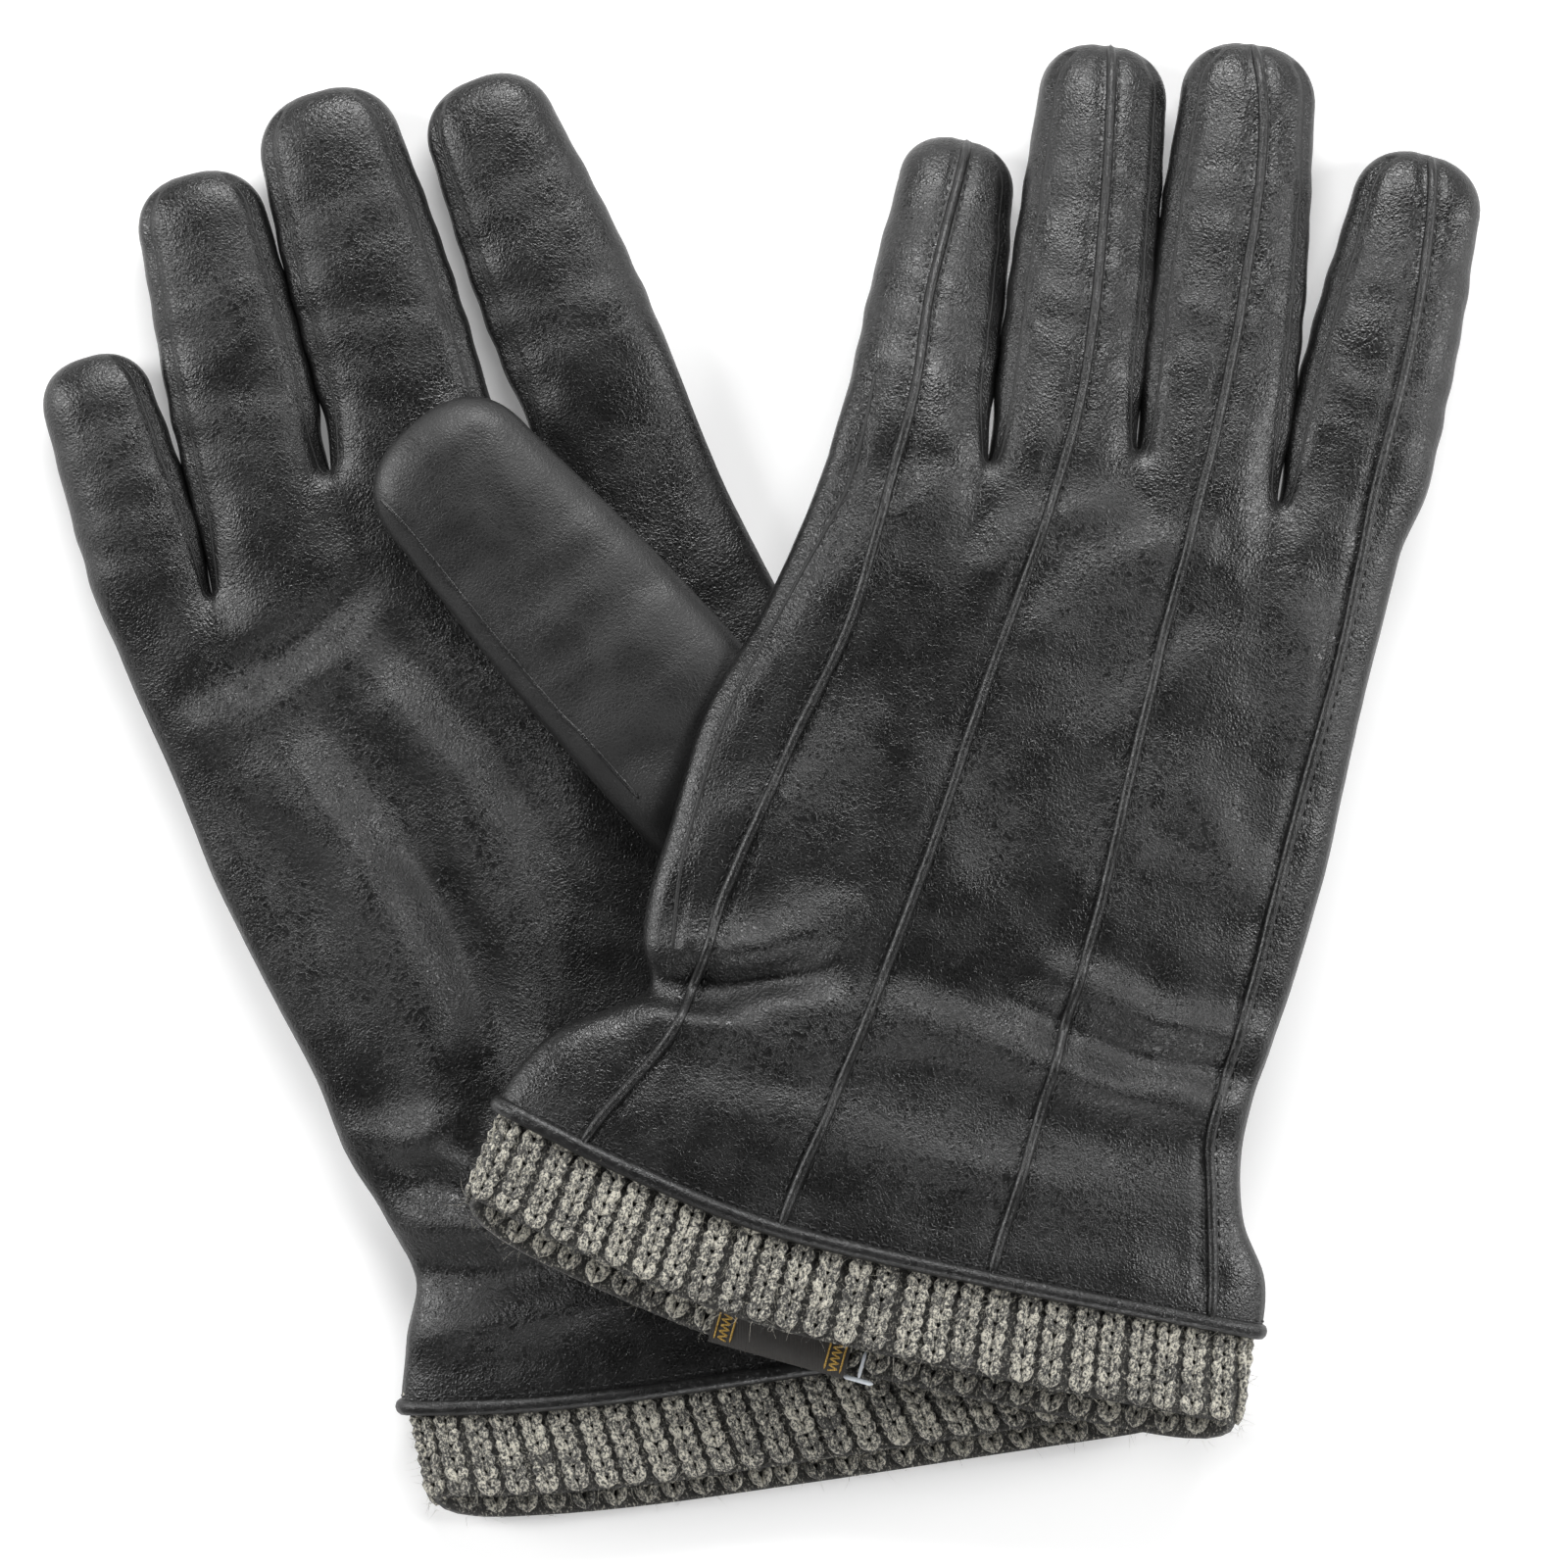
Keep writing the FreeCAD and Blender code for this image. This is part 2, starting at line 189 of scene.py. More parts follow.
class Graph:
    """The node tree of a material or of the world, built by calls."""

    def __init__(self, owner: bpy.types.ID) -> None:
        """Empties the owner's tree.

        Args:
            owner: the material or world.
        """
        self.owner = owner
        owner.use_nodes = True
        self.tree = owner.node_tree
        self.tree.nodes.clear()

    def add(self, kind: str, settings: Optional[dict] = None, inputs: Optional[dict] = None,
            output: object = 0) -> Wire:
        """Adds a node.

        Args:
            kind: the node's type.
            settings: attributes to set on it.
            inputs: input name or index, to a wire or a constant.
            output: name or index of the output to return.

        Returns:
            The chosen output.
        """
        node = self.tree.nodes.new(kind)
        for key, value in (settings or {}).items():
            setattr(node, key, value)
        for key, value in (inputs or {}).items():
            if isinstance(value, Wire):
                self.tree.links.new(value.socket, node.inputs[key])
            else:
                node.inputs[key].default_value = value
        return Wire(self, node.outputs[output] if len(node.outputs) else None)

    def rest(self) -> Wire:
        """The surface point at rest, in millimetres."""
        return self.add("ShaderNodeAttribute", {"attribute_name": "rest_mm"}, output="Vector")

    def value(self, name: str) -> Wire:
        """A number stored on the mesh."""
        return self.add("ShaderNodeAttribute", {"attribute_name": name}, output="Fac")

    def noise(self, at: Wire, scale: float, detail: float = 2.0, rough: float = 0.5,
              distortion: float = 0.0) -> Wire:
        """A noise texture.

        Args:
            at: the coordinates.
            scale: features for each unit of the coordinates.
            detail: octaves.
            rough: share of each finer octave.
            distortion: how much the noise is warped.

        Returns:
            Its value, about 0 to 1.
        """
        inputs = {"Vector": at, "Scale": scale, "Detail": detail, "Roughness": rough,
                  "Distortion": distortion}
        return self.add("ShaderNodeTexNoise", {}, inputs)

    def cells(self, at: Wire, scale: float, feature: str = "DISTANCE_TO_EDGE") -> Wire:
        """A Voronoi texture's distance."""
        return self.add("ShaderNodeTexVoronoi", {"feature": feature}, {"Vector": at, "Scale": scale},
                        output="Distance")

    def warp(self, at: Wire, by: float, scale: float) -> Wire:
        """Coordinates pushed about by a coloured noise.

        Args:
            at: the coordinates.
            by: how far they are pushed.
            scale: the noise's features for each unit.

        Returns:
            The pushed coordinates.
        """
        inputs = {"Vector": at, "Scale": scale, "Detail": 1.0}
        push = self.add("ShaderNodeTexNoise", {}, inputs, output="Color")
        return self.vector("MULTIPLY_ADD", push, (by, by, by), at)

    def vector(self, operation: str, first: object, second: object, third: object = None) -> Wire:
        """A vector operation on wires or triples.

        Args:
            operation: the node's operation.
            first: a wire or triple.
            second: a wire or triple.
            third: the third one, where the operation takes it.

        Returns:
            The node's output.
        """
        inputs = {0: first, 1: second}
        if third is not None:
            inputs[2] = third
        return self.add("ShaderNodeVectorMath", {"operation": operation}, inputs)

    def mix(self, share: object, first: object, second: object) -> Wire:
        """A mix of two colours."""
        inputs = {0: share, 6: first, 7: second}
        return self.add("ShaderNodeMix", {"data_type": "RGBA"}, inputs, output=2)

    def bump(self, height: Wire, depth_mm: float, normal: Optional[Wire] = None) -> Wire:
        """A bump whose height runs from 0 to 1 over a depth.

        Args:
            height: the height, 0 to 1.
            depth_mm: its depth in millimetres.
            normal: a bump to lay it over.

        Returns:
            The bent normal.
        """
        inputs = {"Height": height, "Distance": depth_mm * MM, "Strength": 1.0}
        if normal is not None:
            inputs["Normal"] = normal
        return self.add("ShaderNodeBump", {}, inputs)

    def surface(self, **inputs: object) -> bpy.types.Material:
        """Ends the graph with a Principled surface.

        Args:
            inputs: Principled inputs by name, with _ for a space.

        Returns:
            The finished material.
        """
        named = {key.replace("_", " "): value for key, value in inputs.items()}
        shader = self.add("ShaderNodeBsdfPrincipled", {}, named)
        self.add("ShaderNodeOutputMaterial", {}, {"Surface": shader})
        return self.owner


def grey(level: float, warm: float = 0.0) -> tuple:
    """A grey colour, a little warmer when asked."""
    return (level * (1 + warm), level, level * (1 - warm), 1.0)


# ---------------------------------------------------------------- finishes


@dataclass(frozen=True)
class LeatherFinish:
    """Dyed glove nappa: fine pebbled grain, crow's-feet creases and a soft sheen, partly painted as a
    lighter colour along the creases.
    """

    name: str = "black_nappa"
    tone: float = 0.0045
    # Lighter colour mixed in along the creases and in patches: painted sheen, partly real wear.
    sheen_tone: float = 0.010
    roughness: float = 0.265
    grain_per_mm: float = 1.45
    grain_mm: float = 0.058
    crease_mm: float = 0.07

    def build(self) -> bpy.types.Material:
        """Builds the material."""
        g = Graph(bpy.data.materials.new(self.name))
        at = g.rest()
        bent = g.warp(at, 0.9, 0.8)
        pebble = g.cells(bent, self.grain_per_mm).ramp(0.0, 0.32)
        coarse = g.cells(g.warp(at, 2.2, 0.35), self.grain_per_mm * 0.42).ramp(0.0, 0.16)
        fine = g.noise(at, 1.9, 2.0, 0.5)
        patch = g.noise(at, 0.045, 2.0).ramp(0.35, 0.66)
        wrinkle = (g.noise(g.warp(at, 5.0, 0.12), 0.62, 4.0, 0.6) - 0.5).absolute().ramp(0.0, 0.10)
        strained = g.value("crease").ramp(0.0, 1.0)
        crease = wrinkle * (strained * 0.8 + patch * 0.28) + (1.0 - (strained * 0.8 + patch * 0.28))
        grain = pebble * 0.60 + coarse * 0.40 + fine * 0.9
        normal = g.bump(crease, self.crease_mm)
        normal = g.bump(grain, self.grain_mm, normal)
        # Lighter colour along the wrinkle lines and in random patches: partly real wear, partly painted
        # sheen.
        crease_wear_and_sheen = (1.0 - crease) * 0.5 + patch * 0.35
        color = g.mix(crease_wear_and_sheen, grey(self.tone), grey(self.sheen_tone))
        rough = g.noise(at, 0.12, 3.0).ramp(0.3, 0.7, self.roughness - 0.05, self.roughness + 0.07)
        return g.surface(Base_Color=color, Roughness=rough + (1.0 - pebble) * 0.10, Normal=normal,
                         Specular_IOR_Level=0.55)


@dataclass(frozen=True)
class RolledFinish:
    """The same leather pulled tight over the rolled edge and the raised seams."""

    name: str = "black_rolled_leather"
    tone: float = 0.005
    roughness: float = 0.30

    def build(self) -> bpy.types.Material:
        """Builds the material."""
        g = Graph(bpy.data.materials.new(self.name))
        at = g.rest()
        grain = g.cells(g.warp(at, 0.8, 0.9), 1.9).ramp(0.0, 0.25)
        pucker = g.noise(at, 0.9, 3.0, 0.6)
        normal = g.bump(grain * 0.4 + pucker, 0.07)
        color = g.mix(g.noise(at, 0.3, 2.0).ramp(0.4, 0.7), grey(self.tone), grey(self.tone * 2.0))
        rough = pucker.ramp(0.3, 0.7, self.roughness, self.roughness + 0.10)
        return g.surface(Base_Color=color, Roughness=rough, Normal=normal, Specular_IOR_Level=0.55)


@dataclass(frozen=True)
class YarnFinish:
    """Marled wool: each strand is spun from cream, grey and near-black fibres."""

    name: str = "marled_wool"
    dark: tuple = (0.022, 0.021, 0.019, 1.0)
    middle: tuple = (0.17, 0.165, 0.145, 1.0)
    light: tuple = (0.66, 0.63, 0.53, 1.0)
    shade: float = 1.0

    def build(self) -> bpy.types.Material:
        """Builds the material."""
        g = Graph(bpy.data.materials.new(self.name))
        at = g.rest()
        strand = g.value("strand")
        fibre = g.noise(g.warp(at, 0.6, 1.2), 1.9, 3.0, 0.75)
        streak = g.noise(g.vector("MULTIPLY", at, (2.6, 0.8, 2.6)), 1.1, 2.0, 0.6)
        mixed = strand * 0.55 + (fibre - 0.5) * 1.9 + (streak - 0.5) * 1.2 + 0.22
        color = g.mix(mixed.ramp(0.30, 0.52), self.dark, self.middle)
        color = g.mix(mixed.ramp(0.48, 0.74), color, self.light)
        # Mixes toward near-black by one less the shade: painted shade, used for the lining inside the glove.
        color = g.mix(self.shade, (0.01, 0.01, 0.009, 1.0), color)
        fuzz = g.noise(at, 9.0, 3.0, 0.7)
        normal = g.bump(fuzz, 0.25)
        return g.surface(Base_Color=color, Roughness=0.92, Normal=normal, Specular_IOR_Level=0.2,
                         Sheen_Weight=0.25, Sheen_Roughness=0.6)


@dataclass(frozen=True)
class ThreadFinish:
    """Black polyester sewing thread, twisted, with a faint shine."""

    name: str = "black_thread"
    tone: float = 0.006

    def build(self) -> bpy.types.Material:
        """Builds the material."""
        g = Graph(bpy.data.materials.new(self.name))
        at = g.rest()
        ply = g.noise(at, 6.0, 2.0)
        color = g.mix(ply, grey(self.tone), grey(self.tone * 1.9))
        return g.surface(Base_Color=color, Roughness=ply.ramp(0.2, 0.8, 0.42, 0.6),
                         Normal=g.bump(ply, 0.06))


@dataclass(frozen=True)
class SatinFinish:
    """Black woven satin of the size label."""

    name: str = "black_satin"

    def build(self) -> bpy.types.Material:
        """Builds the material."""
        g = Graph(bpy.data.materials.new(self.name))
        at = g.rest()
        weave = g.add("ShaderNodeTexWave", {"wave_profile": "SIN"},
                      {"Vector": at, "Scale": 1.1, "Distortion": 0.4}, output="Fac")
        color = g.mix(g.noise(at, 2.0, 2.0), grey(0.020, 0.1), grey(0.035, 0.1))
        return g.surface(Base_Color=color, Roughness=weave.ramp(0.0, 1.0, 0.45, 0.6),
                         Normal=g.bump(weave, 0.05))


@dataclass(frozen=True)
class GoldFinish:
    """Old-gold rayon thread of the label's border."""

    name: str = "gold_thread"

    def build(self) -> bpy.types.Material:
        """Builds the material."""
        g = Graph(bpy.data.materials.new(self.name))
        at = g.rest()
        ply = g.noise(at, 5.0, 2.0)
        color = g.mix(ply.ramp(0.3, 0.7), (0.22, 0.12, 0.018, 1.0), (0.70, 0.46, 0.10, 1.0))
        return g.surface(Base_Color=color, Roughness=0.5, Normal=g.bump(ply, 0.08))


@dataclass(frozen=True)
class PlasticFinish:
    """Milky nylon of the tag pin."""

    name: str = "milky_nylon"

    def build(self) -> bpy.types.Material:
        """Builds the material."""
        g = Graph(bpy.data.materials.new(self.name))
        at = g.rest()
        cloud = g.noise(at, 0.8, 2.0)
        color = g.mix(cloud, (0.50, 0.55, 0.60, 1.0), (0.80, 0.84, 0.87, 1.0))
        return g.surface(Base_Color=color, Roughness=cloud.ramp(0.2, 0.8, 0.24, 0.34),
                         Normal=g.bump(cloud, 0.02))


@dataclass(frozen=True)
class FloorFinish:
    """A plain pale studio table."""

    name: str = "pale_table"

    def build(self) -> bpy.types.Material:
        """Builds the material."""
        g = Graph(bpy.data.materials.new(self.name))
        at = g.add("ShaderNodeTexCoord", output="Object")
        color = g.mix(g.noise(at, 3.0, 2.0), grey(0.88), grey(0.90))
        return g.surface(Base_Color=color, Roughness=0.8, Emission_Color=(1.0, 1.0, 1.0, 1.0),
                         Emission_Strength=0.20)


class Paints:
    """Every material of the pair, built once."""

    def __init__(self) -> None:
        """Builds the materials."""
        self.leather = LeatherFinish().build()
        self.side_leather = LeatherFinish(name="black_nappa_sides", tone=0.004, grain_per_mm=1.8).build()
        self.thumb_leather = LeatherFinish(name="black_nappa_thumb", tone=0.008, sheen_tone=0.014,
                                           roughness=0.40, grain_mm=0.036, crease_mm=0.05).build()
        self.rolled = RolledFinish().build()
        self.yarn = YarnFinish().build()
        # Lining yarn mixed toward near-black: painted shade inside the glove.
        self.shaded_inner_yarn = YarnFinish(name="marled_wool_shaded_inside", shade=0.45).build()
        self.thread = ThreadFinish().build()
        self.satin = SatinFinish().build()
        self.gold = GoldFinish().build()
        self.plastic = PlasticFinish().build()
        self.floor = FloorFinish().build()


# ---------------------------------------------------------------- shape maths


def smooth(low: float, high: float, value: np.ndarray) -> np.ndarray:
    """A smooth step from 0 at low to 1 at high."""
    t = np.clip((np.asarray(value, float) - low) / (high - low), 0.0, 1.0)
    return t * t * (3 - 2 * t)


def ease(rows: Sequence[tuple], at: np.ndarray) -> np.ndarray:
    """Reads a smooth curve through (place, value) rows.

    Args:
        rows: the curve's points, in order of place.
        at: where to read it.

    Returns:
        Its values, by monotone cubic pieces.
    """
    x = np.array([row[0] for row in rows], float)
    y = np.array([row[1] for row in rows], float)
    step = np.diff(x)
    slope = np.diff(y) / step
    tangent = np.concatenate([slope[:1], (slope[:-1] + slope[1:]) / 2, slope[-1:]])
    tangent[1:-1] = np.where(slope[:-1] * slope[1:] <= 0, 0.0, tangent[1:-1])
    at = np.clip(np.asarray(at, float), x[0], x[-1])
    k = np.clip(np.searchsorted(x, at, side="right") - 1, 0, len(step) - 1)
    t = (at - x[k]) / step[k]
    h = step[k]
    return ((1 + 2 * t) * (1 - t) ** 2 * y[k] + t * (1 - t) ** 2 * h * tangent[k]
            + t * t * (3 - 2 * t) * y[k + 1] + t * t * (t - 1) * h * tangent[k + 1])


def turned(degrees: float, axis: str) -> Matrix:
    """A turn about one axis."""
    return Matrix.Rotation(math.radians(degrees), 4, axis)


def shifted(x: float, y: float, z: float) -> Matrix:
    """A move in a straight line."""
    return Matrix.Translation((x, y, z))


def carried(matrix: Matrix, points: np.ndarray) -> np.ndarray:
    """Carries an array of points by a matrix."""
    m = np.array(matrix)
    return np.asarray(points) @ m[:3, :3].T + m[:3, 3]


def resampled(points: np.ndarray, step: float) -> np.ndarray:
    """Spaces points evenly along a line.

    Args:
        points: the line's points.
        step: the wanted distance, about.

    Returns:
        Evenly spaced points from end to end.
    """
    run = run_along(points)
    count = max(2, int(round(run[-1] / step)) + 1)
    return read_line(points, run, np.linspace(0.0, run[-1], count))


def along(points: np.ndarray) -> np.ndarray:
    """Unit directions along a line of points."""
    way = np.gradient(points, axis=0)
    return way / np.maximum(np.linalg.norm(way, axis=1, keepdims=True), 1e-9)


def unit(vectors: np.ndarray) -> np.ndarray:
    """Scales rows to length one."""
    return vectors / np.maximum(np.linalg.norm(vectors, axis=-1, keepdims=True), 1e-9)


def run_along(points: np.ndarray) -> np.ndarray:
    """The distance along a line at each of its points."""
    return np.concatenate([[0.0], np.cumsum(np.linalg.norm(np.diff(points, axis=0), axis=1))])


def read_line(points: np.ndarray, run: np.ndarray, marks: np.ndarray) -> np.ndarray:
    """The points of a line at some distances along it."""
    return np.stack([np.interp(marks, run, points[:, k]) for k in range(3)], axis=-1)


def evened(rows: np.ndarray, rounds: int) -> np.ndarray:
    """Evens out a line of rows and holds its ends.

    Args:
        rows: points or directions along the line.
        rounds: how many times each is drawn to its neighbours.

    Returns:
        The evened rows.
    """
    rows = rows.copy()
    for _ in range(rounds):
        rows[1:-1] = (rows[:-2] + rows[1:-1] * 2 + rows[2:]) / 4
    return rows


def squared(wave: np.ndarray, power: float) -> np.ndarray:
    """A sine or cosine, squared off to draw a superellipse."""
    return np.sign(wave) * np.abs(wave) ** (2 / power)


def vnoise(points: np.ndarray, scale: float, seed: float = 0.0) -> np.ndarray:
    """Smooth noise from -1 to 1 at each point."""
    shift = Vector((seed, seed * 1.7, seed * 0.6))
    return np.array([noise.noise(Vector(p) * scale + shift) for p in points])


@dataclass
class Mesh:
    """Vertices, faces and numbers for each vertex, gathered before they become a piece."""

    points: list = field(default_factory=list)
    faces: list = field(default_factory=list)
    strand: list = field(default_factory=list)

    def add(self, points: np.ndarray, faces: Iterable[tuple], strand: float = 0.5) -> None:
        """Adds a patch.

        Args:
            points: its vertices.
            faces: its faces, counted from its own first vertex.
            strand: the shade number its vertices carry.
        """
        first = len(self.points)
        self.points.extend(map(tuple, points))
        self.faces.extend(tuple(first + k for k in face) for face in faces)
        self.strand.extend([strand] * len(points))


def tube_faces(rows: int, cols: int, closed: bool = True) -> list:
    """Quads of a grid whose rows go round a tube.

    Args:
        rows: how many rings.
        cols: vertices in each.
        closed: whether each ring joins up.

    Returns:
        The faces.
    """
    span = cols if closed else cols - 1
    faces = []
    for r in range(rows - 1):
        for c in range(span):
            d = (c + 1) % cols
            faces.append((r * cols + c, r * cols + d, (r + 1) * cols + d, (r + 1) * cols + c))
    return faces


def swept(path: np.ndarray, up: np.ndarray, outline: Callable[[float], np.ndarray]) -> tuple:
    """Sweeps an outline along a path and closes both ends.

    Args:
        path: the path's points.
        up: the outline's upward direction at each point.
        outline: gives the outline's (across, up) points for a share of the path's length.

    Returns:
        (points, faces).
    """
    way = along(path)
    across = unit(np.cross(way, up))
    lift = unit(np.cross(across, way))
    rings = []
    for k in range(len(path)):
        shape = outline(k / (len(path) - 1))
        rings.append(path[k] + shape[:, :1] * across[k] + shape[:, 1:] * lift[k])
    cols = len(rings[0])
    faces = [face[::-1] for face in tube_faces(len(rings), cols)]
    faces.append(tuple(range(cols)))
    faces.append(tuple(range((len(rings) - 1) * cols, len(rings) * cols))[::-1])
    return np.concatenate(rings), faces


def round_outline(width: float, height: float, sides: int = 8, taper: float = 0.08) -> Callable:
    """An oval outline that narrows at both ends of its path.

    Args:
        width: the oval's width.
        height: its height.
        sides: points round it.
        taper: share of the path over which each end narrows.

    Returns:
        The outline at a share of the path.
    """
    angle = np.arange(sides) * 2 * math.pi / sides

    def outline(share: float) -> np.ndarray:
        """The oval at one share of the path.

        Args:
            share: the share, 0 to 1.

        Returns:
            Its (across, up) points.
        """
        near = min(share, 1 - share) / taper
        size = math.sqrt(max(0.0, 1 - (1 - min(near, 1.0)) ** 2)) * 0.9 + 0.1
        return np.stack([np.cos(angle) * width / 2, np.sin(angle) * height / 2], axis=1) * size

    return outline


# ---------------------------------------------------------------- the gloves' sizes, in millimetres


@dataclass
class Finger:
    """One finger stall: its root, lean, length, widths and thickness, where its joint is and how far it
    droops.
    """

    digit: Digit
    root: tuple
    lean: float
    length: float
    widths: tuple
    thick: float
    bend: float
    droop: float = 0.0

    @property
    def tip_round(self) -> float:
        """Length of the rounded tip."""
        return 0.46 * self.widths[-1]

    def frame(self) -> Matrix:
        """The finger's own frame in its glove's."""
        return shifted(*self.root, 0.0) @ turned(self.lean, "Z")

    def sag(self, run: np.ndarray) -> np.ndarray:
        """How far the drooping finger's middle line has dropped."""
        ease_in = 10.0
        return -math.tan(math.radians(self.droop)) * (np.sqrt(run ** 2 + ease_in ** 2) - ease_in)


@dataclass
class Fold:
    """A ridge or hollow in the leather along a line of points."""

    line: tuple
    height: float
    width: float


@dataclass
class Pattern:
    """One glove's cut and how it lies."""

    side: Side
    back_up: bool
    place: tuple
    height: float
    turn: float
    roll: float
    pitch: float
    left_edge: tuple
    right_edge: tuple
    thick: tuple
    cuff: tuple
    crotches: tuple
    cuff_shares: tuple
    fingers: tuple
    thumb: Finger
    thumb_rise: float
    thumb_swell: float
    thumb_tail: float
    folds: tuple
    cords: dict
    side_seam: tuple = ()

    def frame(self) -> Matrix:
        """The glove's frame in the pair's, in millimetres.

        Returns:
            The matrix.
        """
        pivot = shifted(0, 70, 0)
        return (shifted(*self.place, self.height) @ turned(self.turn, "Z") @ pivot
                @ turned(self.roll, "Y") @ turned(-self.pitch, "X") @ pivot.inverted())

    def above(self, points: np.ndarray, floor: float, give: float = 0.0) -> np.ndarray:
        """Keeps points of the glove's frame off the table.

        Args:
            points: the points.
            floor: the lowest height above the table.
            give: share that is kept of any depth below it.

        Returns:
            The points, still in the glove's frame.
        """
        world = carried(self.frame(), points)
        low = world[:, 2] < floor
        world[low, 2] = floor + (world[low, 2] - floor) * give
        return carried(self.frame().inverted(), world)

    def settle(self) -> None:
        """Lets each finger droop until its tip meets the table."""
        rest = 0.5 if self.back_up else 0.95
        for finger in self.fingers:
            low, high = 0.0, 30.0
            for _ in range(30):
                finger.droop = (low + high) / 2
                reach = finger.length - finger.tip_round
                straight = shifted(*finger.root, 0) @ turned(finger.lean, "Z") @ turned(-finger.droop, "X")
                tip = self.frame() @ straight @ Vector((0, reach, 0))
                if tip.z > finger.thick / 2 + rest:
                    low = finger.droop
                else:
                    high = finger.droop


def left_pattern() -> Pattern:
    """The left glove, back up, lying over the other."""
    fingers = (
        Finger(Digit.PINKY, (-33.0, 139.0), 4.4, 59.5, (28.0, 25.2, 22.0), 13.5, 22.0),
        Finger(Digit.RING, (-5.5, 144.0), 8.0, 79.0, (28.5, 27.0, 24.2), 14.5, 29.0),
        Finger(Digit.MIDDLE, (22.0, 147.0), 8.6, 84.0, (30.0, 29.0, 25.5), 14.5, 31.0),
        Finger(Digit.INDEX, (48.5, 144.0), 1.6, 75.0, (29.0, 28.0, 24.5), 14.5, 29.0),
    )
    folds = (
        Fold(((26, 138), (8, 128), (-3, 108)), 1.3, 4.5),
        Fold(((10, 140), (-6, 131), (-14, 117)), 1.1, 3.6),
        Fold(((33, 128), (20, 116), (8, 95)), -0.9, 4.0),
        Fold(((-22, 134), (-34, 125), (-40, 106)), 1.0, 3.6),
        Fold(((40, 136), (48, 121), (52, 99)), 0.9, 4.0),
        Fold(((61, 44), (36, 41), (8, 46)), -1.5, 3.4),
        Fold(((62, 50), (38, 48), (14, 53)), 1.1, 3.4),
        Fold(((60, 37), (34, 34), (-4, 36), (-42, 31)), 1.2, 3.8),
        Fold(((-56, 29), (-40, 32), (-20, 42)), -2.8, 3.0),
        Fold(((-51, 25), (-30, 25), (-4, 31)), 1.3, 3.6),
        Fold(((-50, 37), (-34, 42), (-18, 55)), 1.1, 3.8),
        Fold(((66, 20), (38, 15), (2, 12), (-40, 13)), 0.9, 4.6),
        Fold(((-50, 62), (-36, 70), (-26, 90)), 0.8, 4.0),
        Fold(((36, 100), (24, 86), (18, 66)), 0.7, 5.0),
        Fold(((-12, 92), (-2, 78), (4, 62)), -0.7, 5.0),
        Fold(((56, 74), (44, 80), (34, 94)), 0.8, 4.2),
    )
    cords = {
        Digit.PINKY: ((-37, 199), (-37.5, 171), (-35.5, 143), (-35.5, 109), (-40, 78),
                      (-44, 50), (-46, 24), (-56, 1), (-57.5, -4)),
        Digit.RING: ((-16.5, 222), (-11, 194), (-6.7, 166), (-5.6, 149), (-6.7, 122), (-8.2, 103),
                     (-10.6, 60), (-14.7, 19), (-17.3, 0), (-18, -8)),
        Digit.MIDDLE: ((8.8, 230), (13.8, 216), (18.4, 183), (20, 159), (20.4, 136), (21.8, 89), (23, 62),
                       (22.7, 22), (22, 0), (21.8, -7)),
        Digit.INDEX: ((46.4, 219), (49, 206), (51.3, 180), (51.6, 158), (53.5, 129), (54.0, 99), (54.2, 80),
                      (54.8, 58), (54.6, 42), (54.8, 30), (57.5, 21), (63.5, 0), (64, -4)),
    }
    return Pattern(
        side=Side.LEFT, back_up=True, place=(21.5, -80.15), height=25.0, turn=-16.0, roll=5.0, pitch=2.5,
        left_edge=((-9, -75.5), (2, -73.6), (10, -71.0), (17, -66.5), (24, -57.5), (29, -52.6), (37, -56.2),
                   (60, -57.0), (81, -56.5), (100, -51.6), (122, -48.3), (150, -46.4)),
        right_edge=((-9, 75.3), (8, 72.5), (16, 66.5), (24, 63.2), (38, 61.4), (60, 62.6), (81, 62.9),
                    (100, 62.0), (122, 61.0), (150, 60.4)),
        thick=((-9, 17.0), (30, 15.0), (60, 16.0), (100, 16.5), (150, 15.0)),
        cuff=((-76, 1.3), (-48, -3.9), (-16, -7.2), (22, -5.5), (76, -1.3)),
        crotches=((-18.2, 138.4), (7.9, 148.0), (36.0, 145.9)), cuff_shares=(-0.5, 0.0, 0.5),
        fingers=fingers,
        thumb=Finger(Digit.THUMB, (44.0, 60.0), 35.0, 86.0, (33.0, 33.0, 28.0), 11.0, 42.0),
        thumb_rise=-14.4, thumb_swell=0.0, thumb_tail=5.0, folds=folds, cords=cords,
        side_seam=((-43.4, 149), (-42.4, 132), (-46.9, 108), (-52.6, 81), (-53.4, 56), (-50.5, 36)))


